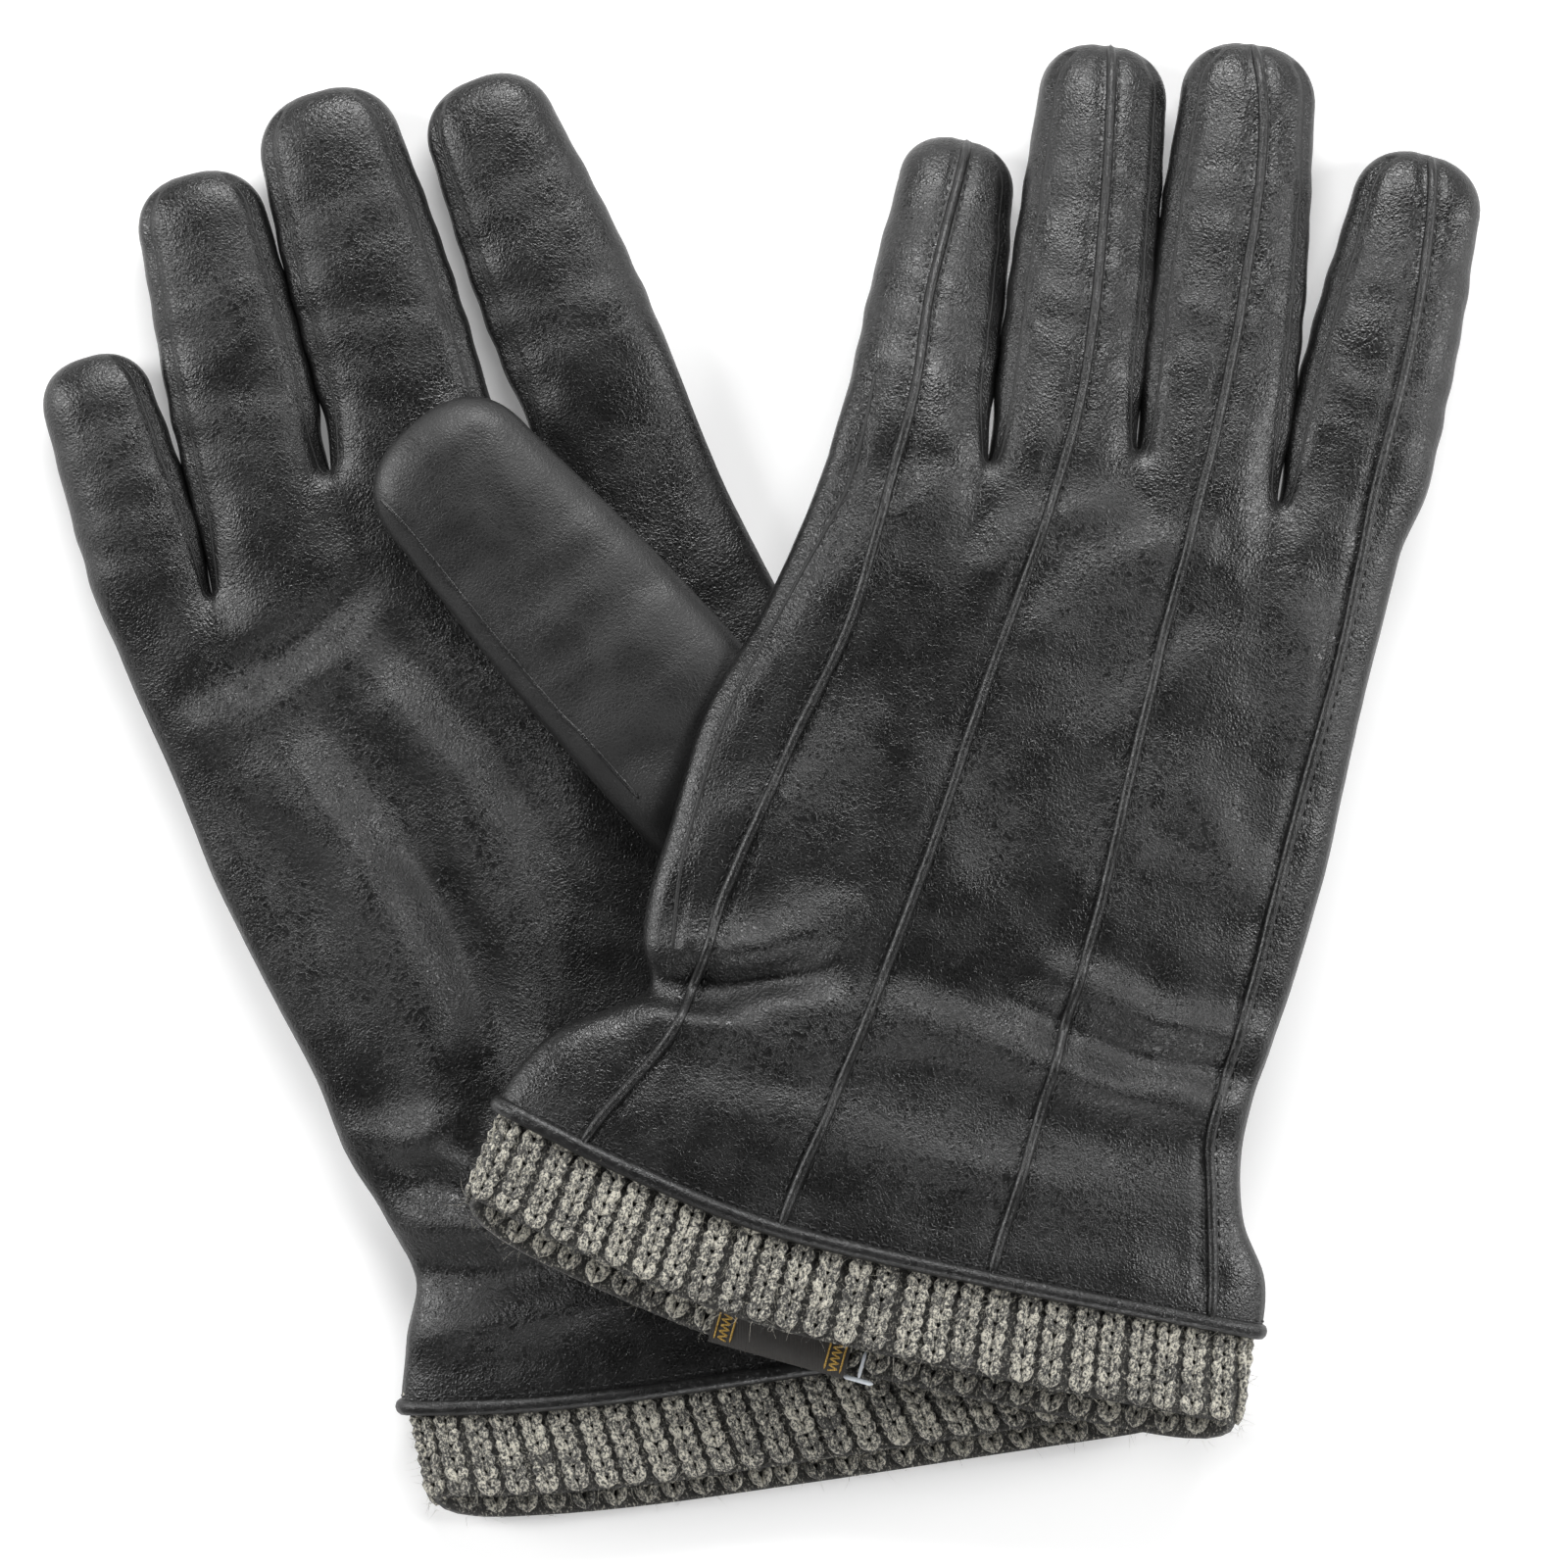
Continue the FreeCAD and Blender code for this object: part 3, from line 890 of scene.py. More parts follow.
def right_pattern() -> Pattern:
    """The right glove, palm up, lying underneath."""
    fingers = (
        Finger(Digit.PINKY, (-62.0, 162.0), -1.6, 53.0, (23.5, 22.8, 21.0), 13.5, 21.0),
        Finger(Digit.RING, (-38.0, 168.0), -5.9, 73.5, (28.0, 27.5, 24.5), 14.5, 27.0),
        Finger(Digit.MIDDLE, (-7.0, 174.0), -2.8, 74.0, (31.5, 30.5, 27.0), 14.5, 27.0),
        Finger(Digit.INDEX, (29.5, 168.0), 3.5, 72.5, (31.0, 29.5, 25.0), 14.5, 27.0),
    )
    folds = (
        Fold(((-52, 140), (-42, 108), (-40, 72), (-48, 40)), 2.2, 6.0),
        Fold(((-42, 146), (-31, 112), (-28, 78), (-34, 46)), -1.9, 5.0),
        Fold(((-33, 150), (-21, 118), (-16, 84), (-20, 50)), 2.2, 5.6),
        Fold(((-64, 140), (-56, 108), (-54, 76)), -1.4, 5.0),
        Fold(((-24, 150), (-10, 122), (-4, 92)), -1.4, 4.6),
        Fold(((-57, 52), (-42, 43), (-24, 44)), -2.0, 3.4),
        Fold(((-56, 43), (-40, 36), (-22, 34)), 1.8, 3.6),
        Fold(((-60, 34), (-42, 27), (-20, 24)), -1.4, 3.4),
        Fold(((-62, 62), (-50, 56), (-36, 58)), 1.3, 3.4),
        Fold(((-66, 22), (-46, 18), (-20, 16)), 1.3, 3.8),
        Fold(((-66, 148), (-44, 150), (-20, 158)), -1.1, 3.4),
        Fold(((-64, 141), (-42, 142), (-22, 149)), 0.9, 3.4),
        Fold(((-8, 160), (8, 158), (26, 156)), -0.8, 3.4),
        Fold(((-30, 132), (-20, 112), (-16, 92)), -0.9, 4.6),
    )
    cords = {
        Digit.PINKY: ((-66, 212), (-63, 185), (-62, 162), (-60, 120), (-55, 80), (-48, 40), (-50, 8)),
        Digit.RING: ((-33, 240), (-36, 205), (-38, 168), (-32, 120), (-24, 80), (-18, 40), (-20, 0)),
        Digit.MIDDLE: ((-5, 247), (-6, 210), (-7, 174), (-2, 120), (6, 80), (12, 40), (14, -6)),
        Digit.INDEX: ((33, 239), (30, 205), (29.5, 168), (30, 120), (32, 80), (38, 40), (44, -12)),
    }
    return Pattern(
        side=Side.RIGHT, back_up=False, place=(0.1, -104.15), height=8.6, turn=19.0, roll=0.0, pitch=0.0,
        left_edge=((-24, -72.4), (0, -71.4), (12, -67.5), (22, -62.6), (32, -58.2), (44, -59.6), (56, -62.6),
                   (72, -63.4), (97, -67.0), (113, -69.2), (134, -70.6), (151, -72.0), (180, -73.6)),
        right_edge=((-24, 74), (10, 66), (30, 57), (60, 54), (90, 53), (120, 50), (150, 46), (180, 44)),
        thick=((-24, 15.5), (38, 15.0), (67, 16.5), (117, 16.5), (180, 15.0)),
        cuff=((-76, 11.0), (-40, 1.5), (0, -6.5), (40, -14.0), (76, -21.0)),
        crotches=((-52.5, 164.0), (-24.0, 179.0), (14.2, 170.0)), cuff_shares=(-0.55, -0.05, 0.5),
        fingers=fingers,
        thumb=Finger(Digit.THUMB, (29.5, 97.0), 23.0, 92.0, (38.0, 36.5, 32.5), 12.5, 47.0),
        thumb_rise=15.2, thumb_swell=6.0, thumb_tail=20.0, folds=folds, cords=cords)


# ---------------------------------------------------------------- the leather


@dataclass
class Leather:
    """The leather of one glove: one grid over the hand and the four finger stalls."""

    pattern: Pattern
    panel_cols: int = 20
    side_cols: int = 7
    hand_rows: int = 130
    finger_rows: int = 66
    hand_power: float = 2.9
    finger_power: float = 2.35
    panel_share: float = 0.90
    finger_panel_share: float = 0.80
    valley: float = 2.6
    give: float = 0.05
    dent_width: float = 0.085
    dent_reach: float = 11.0
    crotch_dip: float = 2.2
    relax_rounds: int = 14
    seam_sink: float = 0.65
    seam_share: float = 0.95
    knuckle_pitch: float = 9.5
    slack: tuple = ((0.035, 3.0, 0.85), (0.085, 9.0, 0.38), (0.21, 21.0, 0.12))
    cast_from: float = 60.0

    def build(self) -> None:
        """Lays out the grid, relaxes it and adds folds and grain-scale wrinkles."""
        self.points: list = []
        self.faces: dict = {}
        self.lead: dict = {}
        self.crotch_lines: dict = {}
        self.hand()
        for index, finger in enumerate(self.pattern.fingers):
            self.stall(index, finger)
        self.at = np.array(self.points, float)
        self.quads = np.array([quad for quads in self.faces.values() for quad in quads])
        self.relax(self.near_crotch, self.relax_rounds)
        self.crumple()
        self.at = self.pattern.above(self.at, 0.25 if self.pattern.back_up else 0.85, self.give)
        self.normals = self.vertex_normals()
        self.world_normals = self.normals @ np.array(self.pattern.frame())[:3, :3].T
        polygons = [tuple(dict.fromkeys(q)) for q in self.quads.tolist()]
        self.tree = BVHTree.FromPolygons([Vector(p) for p in self.at], polygons)

    def half_section(self, x_share: np.ndarray, y: np.ndarray) -> np.ndarray:
        """Height of the hand's upper half at a share of its width.

        Args:
            x_share: -1 at the little-finger edge to 1 at the other.
            y: place along the hand.

        Returns:
            Height over the middle.
        """
        thick = ease(self.pattern.thick, y)
        over = np.minimum(np.abs(x_share), 1.0) ** self.hand_power
        return thick / 2 * (1 - over) ** (1 / self.hand_power)

    def span(self, share: np.ndarray, y: np.ndarray) -> np.ndarray:
        """Place across the hand of a share of its width.

        Args:
            share: -1 at the little-finger edge to 1 at the other.
            y: place along the hand.

        Returns:
            Place across.
        """
        left = ease(self.pattern.left_edge, y)
        right = ease(self.pattern.right_edge, y)
        return left + (right - left) * (share + 1) / 2

    def hand(self) -> None:
        """Lays the hand's grid from the cuff edge to the finger roots."""
        pattern = self.pattern
        edge = self.panel_share
        crotch_y = np.array([c[1] for c in pattern.crotches])
        end_share = []
        for x, y in pattern.crotches:
            left, right = ease(pattern.left_edge, y), ease(pattern.right_edge, y)
            end_share.append(2 * (x - left) / (right - left) - 1)
        bounds_end = np.array([-edge, *end_share, edge])
        bounds_cuff = np.array([-edge, *pattern.cuff_shares, edge])
        n = self.panel_cols
        end_rows = [(-1.0, crotch_y[0] - 6), *zip(end_share, crotch_y), (1.0, crotch_y[2] - 3)]
        grid = np.arange(4 * n + 1) / n
        turn = math.acos(edge ** (self.hand_power / 2))
        tau = np.linspace(turn, -turn, self.side_cols + 1)[1:-1]
        side_share = squared(np.cos(tau), self.hand_power)
        side_lift = squared(np.sin(tau), self.hand_power)
        count, sides = len(grid), len(side_share)
        facing = np.concatenate([np.ones(count), np.zeros(sides), -np.ones(count), np.zeros(sides)])
        index_side = slice(count, count + sides)
        pinky_side = slice(2 * count + sides, None)
        rows = []
        for r in range(self.hand_rows + 1):
            v = r / self.hand_rows
            limits = bounds_cuff + (bounds_end - bounds_cuff) * smooth(0.25, 1.0, v)
            panel = np.interp(grid, np.arange(5), limits)
            share = np.concatenate([panel, side_share, panel[::-1], -side_share])
            start_y = ease(pattern.cuff, self.span(share, np.zeros(len(share))))
            y = start_y + (ease(end_rows, share) - start_y) * v
            x = self.span(share, y)
            z = self.half_section(share, y) * facing
            half = ease(pattern.thick, y) / 2
            z[index_side] = side_lift * half[index_side]
            z[pinky_side] = -side_lift * half[pinky_side]
            for s, cy in zip(end_share, crotch_y):
                across = np.exp(-((share - s) / self.dent_width) ** 2)
                dent = across * np.exp(-np.maximum(cy - y, 0) / self.dent_reach)
                z -= np.sign(z) * np.minimum(self.valley * dent, np.abs(z) * 0.8)
            rows.append(np.stack([x, y, z], axis=1))
        self.ring = len(rows[0])
        self.points.extend(np.concatenate(rows).tolist())
        self.faces["hand"] = tube_faces(len(rows), self.ring)
        self.last = self.hand_rows * self.ring

    def crotch_line(self, index: int) -> list:
        """Vertices down the crotch between finger index and the next, top to bottom.

        Args:
            index: the finger before the crotch.

        Returns:
            The vertices' numbers.
        """
        if index not in self.crotch_lines:
            n = self.panel_cols
            upper = self.last + (index + 1) * n
            lower = self.last + 2 * (4 * n + 1) + self.side_cols - 1 - 1 - (index + 1) * n
            a, b = np.array(self.points[upper]), np.array(self.points[lower])
            line = [upper]
            for k in range(1, self.side_cols):
                line.append(len(self.points))
                share = k / self.side_cols
                dip = np.array([0, -self.crotch_dip * math.sin(math.pi * share), 0])
                self.points.append((a + (b - a) * share + dip).tolist())
            self.crotch_lines[index] = [*line, lower]
        return self.crotch_lines[index]

    def stall(self, index: int, finger: Finger) -> None:
        """Lays one finger's grid on from the hand's last row.

        Args:
            index: its place from the little finger.
            finger: its sizes.
        """
        n, m, last = self.panel_cols, self.side_cols, self.last
        tops = [last + index * n + k for k in range(n + 1)]
        low_first = last + (4 * n + 1) + (m - 1)
        lows = [low_first + (4 * n) - index * n - k for k in range(n, -1, -1)]
        if index == 3:
            right = [last + 4 * n + 1 + k for k in range(m - 1)]
        else:
            right = self.crotch_line(index)[1:-1]
        if index == 0:
            left = [last + 2 * (4 * n + 1) + (m - 1) + k for k in range(m - 1)]
        else:
            left = self.crotch_line(index - 1)[1:-1][::-1]
        root = [*tops, *right, *lows, *left]
        root_points = np.array([self.points[k] for k in root])
        frame = finger.frame()
        local = carried(frame.inverted(), root_points)
        edge = self.finger_panel_share
        turn = math.acos(edge ** (self.finger_power / 2))
        panel = np.linspace(-edge, edge, n + 1)
        tau = np.linspace(turn, -turn, m + 1)[1:-1]
        side = squared(np.cos(tau), self.finger_power)
        side_z = squared(np.sin(tau), self.finger_power)
        panel_z = (1 - np.abs(panel) ** self.finger_power) ** (1 / self.finger_power)
        unit_x = np.concatenate([panel, side, panel[::-1], -side])
        unit_z = np.concatenate([panel_z, side_z, -panel_z, -side_z])
        far = finger.length
        rows = []
        base_y = local[:, 1]
        share = 1 - (1 - np.linspace(0, 1, self.finger_rows + 1)[1:-1]) ** 1.25
        widths = list(zip((0.0, far * 0.5, far - finger.tip_round), finger.widths))
        for q in share:
            run = base_y + (far - base_y) * q
            over = np.clip((run - (far - finger.tip_round)) / finger.tip_round, 0, 1)
            close = (1 - over ** 2.3) ** (1 / 2.3)
            half = ease(widths, run) / 2
            thick = finger.thick / 2 * (1 - 0.14 * smooth(0.5 * far, far, run))
            flat = (0.16 + 0.84 * close) * np.minimum(1, close * 4)
            goal = np.stack([unit_x * half * close, run, unit_z * thick * flat], axis=1)
            carry = local.copy()
            carry[:, 1] = run
            hold = 1 - smooth(0.0, 24.0, run - base_y)
            hold_x = 1 - smooth(0.0, 15.0, run - base_y)
            mixed = goal.copy()
            mixed[:, 0] = goal[:, 0] * (1 - hold_x) + carry[:, 0] * hold_x
            mixed[:, 2] = goal[:, 2] * (1 - hold) + carry[:, 2] * hold
            mixed[:, 2] += finger.sag(np.maximum(run, 0.0))
            rows.append(carried(frame, mixed))
        first = len(self.points)
        self.points.extend(np.concatenate(rows).tolist())
        ring = len(root)
        pole = len(self.points)
        tip = np.array([[0, far, finger.sag(np.array([far]))[0]]])
        self.points.extend(carried(frame, tip).tolist())
        lead = [root] + [[first + r * ring + c for c in range(ring)] for r in range(len(rows))]
        upper, sides = [], []
        for r in range(len(lead) - 1):
            for c in range(ring):
                d = (c + 1) % ring
                quad = (lead[r][c], lead[r][d], lead[r + 1][d], lead[r + 1][c])
                on_panel = c < n or (n + m) <= c < (n + m) + n
                outer = (index == 3 and n <= c < n + m) or (index == 0 and c >= 2 * n + m)
                (upper if on_panel or outer else sides).append(quad)
        for c in range(ring):
            d = (c + 1) % ring
            upper.append((lead[-1][c], lead[-1][d], pole, pole))
        name = finger.digit.value
        self.faces[name] = upper
        self.faces[name + "_sides"] = sides
        self.lead[name] = lead

    @property
    def near_crotch(self) -> np.ndarray:
        """How freely each vertex may settle: fully near a crotch, hardly elsewhere.

        Returns:
            A weight for each vertex.
        """
        free = np.zeros(len(self.points))
        at = self.at
        for x, y in self.pattern.crotches:
            gap = np.hypot((at[:, 0] - x) / 9.0, (at[:, 1] - y - 2) / 13.0)
            free = np.maximum(free, 1 - smooth(0.3, 1.0, gap))
        return free * 0.6 + 0.03

    def edges(self) -> np.ndarray:
        """Every edge of the grid once.

        Returns:
            Pairs of vertex numbers.
        """
        quads = self.quads
        pairs = np.concatenate([quads[:, [k, (k + 1) % 4]] for k in range(4)])
        pairs = np.sort(pairs[pairs[:, 0] != pairs[:, 1]], axis=1)
        return np.unique(pairs, axis=0)

    def relax(self, weight: np.ndarray, rounds: int) -> None:
        """Moves vertices toward their neighbours' middle.

        Args:
            weight: how freely each vertex moves.
            rounds: how many times.
        """
        pairs = self.edges()
        count = np.bincount(pairs.ravel(), minlength=len(self.at)).astype(float)
        held = weight.copy()
        held[: self.ring] = 0
        for _ in range(rounds):
            total = np.zeros_like(self.at)
            np.add.at(total, pairs[:, 0], self.at[pairs[:, 1]])
            np.add.at(total, pairs[:, 1], self.at[pairs[:, 0]])
            middle = total / np.maximum(count, 1)[:, None]
            self.at += (middle - self.at) * held[:, None]

    def vertex_normals(self) -> np.ndarray:
        """Outward directions of the whole grid's vertices.

        Returns:
            Unit directions.
        """
        p = self.at
        q = self.quads
        face = np.cross(p[q[:, 2]] - p[q[:, 0]], p[q[:, 3]] - p[q[:, 1]])
        total = np.zeros_like(p)
        for k in range(4):
            np.add.at(total, q[:, k], face)
        return unit(total)

    def crumple(self) -> None:
        """Adds folds, creases at the knuckles and a slack, wrinkled surface."""
        normals = self.vertex_normals()
        upper = smooth(-0.1, 0.5, normals[:, 2])
        rise = np.zeros(len(self.at))
        self.crease = np.zeros(len(self.at))
        for fold in self.pattern.folds:
            near, share = self.nearest(np.array(fold.line, float))
            wander = 1 + 0.25 * np.sin(share * 9 + fold.height * 7)
            fade = np.sin(np.clip(share, 0, 1) * math.pi) ** 0.6
            crest = np.exp(-(near / (fold.width * wander)) ** 2)
            skirt = np.exp(-((near - 2.1 * fold.width) / (fold.width * 1.1)) ** 2)
            rise += fold.height * fade * (crest - 0.35 * skirt) * upper
            self.crease = np.maximum(self.crease, fade * np.exp(-(near / (fold.width * 2.2)) ** 2))
        (slow, slow_seed, deep), *finer = self.slack
        loose = deep * vnoise(self.at * np.array([1.0, 0.8, 1.0]), slow, slow_seed)
        for scale, seed, height in finer:
            loose += height * vnoise(self.at, scale, seed)
        facing = 0.3 + 0.7 * np.abs(normals[:, 2]) ** 1.5
        rise += loose * facing
        for finger in self.pattern.fingers:
            rise += self.knuckles(finger)
        rise += self.seam_grooves()
        if self.pattern.back_up:
            for line in self.pattern.cords.values():
                near, _ = self.nearest(np.array(line, float))
                rise -= 0.5 * np.exp(-((near - 1.6) / 0.8) ** 2) * upper
        if self.pattern.side_seam:
            near, _ = self.nearest(np.array(self.pattern.side_seam, float))
            rise -= 0.6 * np.exp(-(near / 1.0) ** 2) * upper
        calm = smooth(0.0, 9.0, self.at[:, 1] - ease(self.pattern.cuff, self.at[:, 0]))
        self.at = self.at + normals * (rise * calm)[:, None]

    def seam_grooves(self) -> np.ndarray:
        """How far the sewn lines beside each finger's top and bottom sink.

        Returns:
            A height for each vertex.
        """
        sunk = np.zeros(len(self.at))
        n, m = self.panel_cols, self.side_cols
        for index, finger in enumerate(self.pattern.fingers):
            columns = ([0, 2 * n + m] if index > 0 else []) + ([n, n + m] if index < 3 else [])
            for row in self.lead[finger.digit.value][: int(self.finger_rows * self.seam_share)]:
                for column in columns:
                    sunk[row[column]] = -self.seam_sink
        return sunk

    def knuckles(self, finger: Finger) -> np.ndarray:
        """Soft rolls across a finger at its two knuckles.

        Args:
            finger: the finger.

        Returns:
            A height for each vertex.
        """
        name = finger.digit.value
        mine = np.zeros(len(self.at), bool)
        mine[np.array(self.lead[name][1:]).ravel()] = True
        local = carried(finger.frame().inverted(), self.at)
        run = local[:, 1] / finger.length
        rise = np.zeros(len(self.at))
        for centre, height in ((0.36, 0.16), (0.66, 0.12)):
            phase = (run - centre) * finger.length
            tilt = local[:, 0] * (0.16 if centre < 0.5 else -0.12)
            wave = np.cos((phase + tilt) * 2 * math.pi / self.knuckle_pitch) * np.exp(-(phase / 10.0) ** 2)
            rise += height * wave
            crease_wear_and_sheen = np.maximum(self.crease, 0.7 * np.exp(-(phase / 9.0) ** 2))
            self.crease = np.where(mine, crease_wear_and_sheen, self.crease)
        return np.where(mine, rise, 0.0)

    def nearest(self, line: np.ndarray) -> tuple:
        """Distance from each vertex to a line seen from above, and the share along it.

        Args:
            line: its corners.

        Returns:
            (distances, shares).
        """
        best = np.full(len(self.at), 1e9)
        share = np.zeros(len(self.at))
        lengths = np.linalg.norm(np.diff(line, axis=0), axis=1)
        total = lengths.sum()
        done = 0.0
        for start, end, length in zip(line[:-1], line[1:], lengths):
            way = (end - start) / length
            offset = self.at[:, :2] - start
            run = offset @ way
            held = np.clip(run, 0, length)
            gap = np.linalg.norm(offset - held[:, None] * way, axis=1)
            closer = gap < best
            best = np.where(closer, gap, best)
            share = np.where(closer, (done + held) / total, share)
            done += length
        return best, share

    def on_top(self, x: float, y: float) -> tuple:
        """The upper surface over a place in the glove's frame.

        Args:
            x: place across.
            y: place along.

        Returns:
            (point, normal), or (None, None) off the leather.
        """
        hit = self.tree.ray_cast(Vector((x, y, self.cast_from)), Vector((0, 0, -1)))
        return (hit[0], hit[1]) if hit[0] is not None else (None, None)

    def below(self, x: float, y: float) -> tuple:
        """The lower surface over a place in the glove's frame, from underneath."""
        hit = self.tree.ray_cast(Vector((x, y, -self.cast_from)), Vector((0, 0, 1)))
        return (hit[0], hit[1]) if hit[0] is not None else (None, None)


# ---------------------------------------------------------------- pieces


@dataclass
class Bench:
    """Makes finished pieces for one glove and ties them to its bodies."""

    pattern: Pattern
    paints: Paints

    @property
    def prefix(self) -> str:
        """The start of the glove's names."""
        return self.pattern.side.value

    @property
    def body(self) -> str:
        """The glove's main body."""
        return f"{self.prefix}_glove"

    def piece(self, name: str, points: np.ndarray, faces: Sequence, material: bpy.types.Material, slot: str,
              nodes: Sequence[str], numbers: Optional[dict] = None, normals: Optional[np.ndarray] = None,
              in_glove: bool = True) -> bpy.types.Object:
        """Makes one piece.

        Args:
            name: its name without the glove's.
            points: vertices in millimetres.
            faces: faces by vertex.
            material: its finish.
            slot: the record's material slot; not used.
            nodes: CAD nodes it stands for, without the glove's name.
            numbers: numbers for each vertex, by attribute name.
            normals: directions for each vertex in the pair's frame, where the shading runs on past an edge.
            in_glove: whether the points are in the glove's frame, not yet the pair's.

        Returns:
            The object, not yet on a body.
        """
        points = np.asarray(points, float)
        world = carried(self.pattern.frame(), points) if in_glove else points
        used = sorted({k for face in faces for k in face})
        index = {k: i for i, k in enumerate(used)}
        kept = [tuple(dict.fromkeys(index[k] for k in face)) for face in faces]
        mesh = bpy.data.meshes.new(f"{self.prefix}_{name}")
        mesh.from_pydata((world[used] * MM).tolist(), [], [face for face in kept if len(face) > 2])
        mesh.polygons.foreach_set("use_smooth", [True] * len(mesh.polygons))
        rest = mesh.attributes.new("rest_mm", "FLOAT_VECTOR", "POINT")
        rest.data.foreach_set("vector", points[used].astype(np.float32).ravel())
        for key, value in (numbers or {}).items():
            layer = mesh.attributes.new(key, "FLOAT", "POINT")
            layer.data.foreach_set("value", np.asarray(value, np.float32)[used])
        mesh.materials.append(material)
        if normals is not None:
            mesh.normals_split_custom_set_from_vertices(normals[used].tolist())
        obj = bpy.data.objects.new(f"{self.prefix}_{name}", mesh)
        bpy.context.collection.objects.link(obj)
        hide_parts(*[f"{self.prefix}_{node}" for node in nodes])
        log.info("made %s, %d faces", obj.name, len(mesh.polygons))
        return obj

    def ride(self, obj: bpy.types.Object) -> bpy.types.Object:
        """Puts a piece on the glove's main body."""
        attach(obj, self.body)
        return obj

    def bend(self, obj: bpy.types.Object, finger: Finger, rise: float = 0.0, reach: float = 11.0) -> None:
        """Bakes a piece's placement into its mesh; the span round the digit's joint is worked out but not
        used, so the piece does not bend.

        Args:
            obj: the piece.
            finger: the digit.
            rise: height of the digit's root in the glove's frame.
            reach: how far before and after the joint that span runs.
        """
        frame = self.pattern.frame() @ shifted(0, 0, rise) @ finger.frame()
        lift = float(finger.sag(np.array([finger.bend]))[0])
        start = frame @ Vector((0, finger.bend - reach, lift)) * MM
        end = frame @ Vector((0, finger.bend + reach, lift)) * MM
        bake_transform(obj)


@dataclass
class Skin:
    """Cuts the leather grid into the hand, the stalls and the side strips, and lines them."""

    leather: Leather
    bench: Bench
    lining_depth: float = 1.9

    def build(self) -> None:
        """Makes the leather and lining pieces."""
        bench, leather, paints = self.bench, self.leather, self.bench.paints
        numbers = {"crease": leather.crease}
        hand = bench.piece("hand_leather", leather.at, leather.faces["hand"], paints.leather,
                           "nappa_leather", ["hand_leather"], numbers, leather.world_normals)
        bench.ride(hand)
        for finger in leather.pattern.fingers:
            self.stall(finger, numbers)
        self.linings()

    def stall(self, finger: Finger, numbers: dict) -> None:
        """Makes one finger's leather and side strips.

        Args:
            finger: the finger.
            numbers: the numbers that each vertex carries.
        """
        bench, leather, paints = self.bench, self.leather, self.bench.paints
        name = finger.digit.value
        obj = bench.piece(f"{name}_finger_leather", leather.at, leather.faces[name], paints.leather,
                          "nappa_leather", [f"{name}_finger_leather"], numbers, leather.world_normals)
        bench.bend(obj, finger)
        nodes = [f"{name}_finger_fourchettes", "hand_fourchettes"]
        obj = bench.piece(f"{name}_finger_sides", leather.at, leather.faces[name + "_sides"],
                          paints.side_leather, "nappa_leather", nodes, numbers, leather.world_normals)
        bench.bend(obj, finger)

    def linings(self) -> None:
        """Makes the wool lining of the hand and of each stall, just inside the leather."""
        bench, leather, paints = self.bench, self.leather, self.bench.paints
        inside = leather.at - leather.normals * self.lining_depth
        strand = {"strand": np.full(len(inside), 0.35)}
        faces = [face[::-1] for face in leather.faces["hand"]]
        hand = bench.piece("hand_lining", inside, faces, paints.shaded_inner_yarn, "wool_lining",
                           ["hand_lining"], strand)
        bench.ride(hand)
        for finger in leather.pattern.fingers:
            name = finger.digit.value
            faces = [face[::-1] for face in leather.faces[name] + leather.faces[name + "_sides"]]
            obj = bench.piece(f"{name}_finger_lining", inside, faces, paints.shaded_inner_yarn, "wool_lining",
                              [f"{name}_finger_lining"], strand)
            bench.bend(obj, finger)


@dataclass
class Stitching:
    """Lays sewing threads end to end along a line on the leather."""

    bench: Bench
    length: float = 1.55
    gap: float = 0.75
    width: float = 0.42
    sink: float = 0.06

    def lay(self, mesh: Mesh, path: np.ndarray, up: np.ndarray) -> None:
        """Adds one row of stitches to a mesh.

        Args:
            mesh: the mesh to add to.
            path: the line on the surface.
            up: the surface's direction at each point.
        """
        run = run_along(path)
        outline = round_outline(self.width, self.width * 0.8, 6, 0.22)
        start = 0.6
        while start + self.length < run[-1]:
            marks = np.linspace(start, start + self.length, 5)
            spine = read_line(path, run, marks)
            lift = unit(read_line(up, run, marks))
            hump = np.array([-0.12, 0.06, 0.12, 0.06, -0.12])
            points, faces = swept(spine + lift * (hump[:, None] - self.sink), lift, outline)
            mesh.add(points, faces)
            start += self.length + self.gap


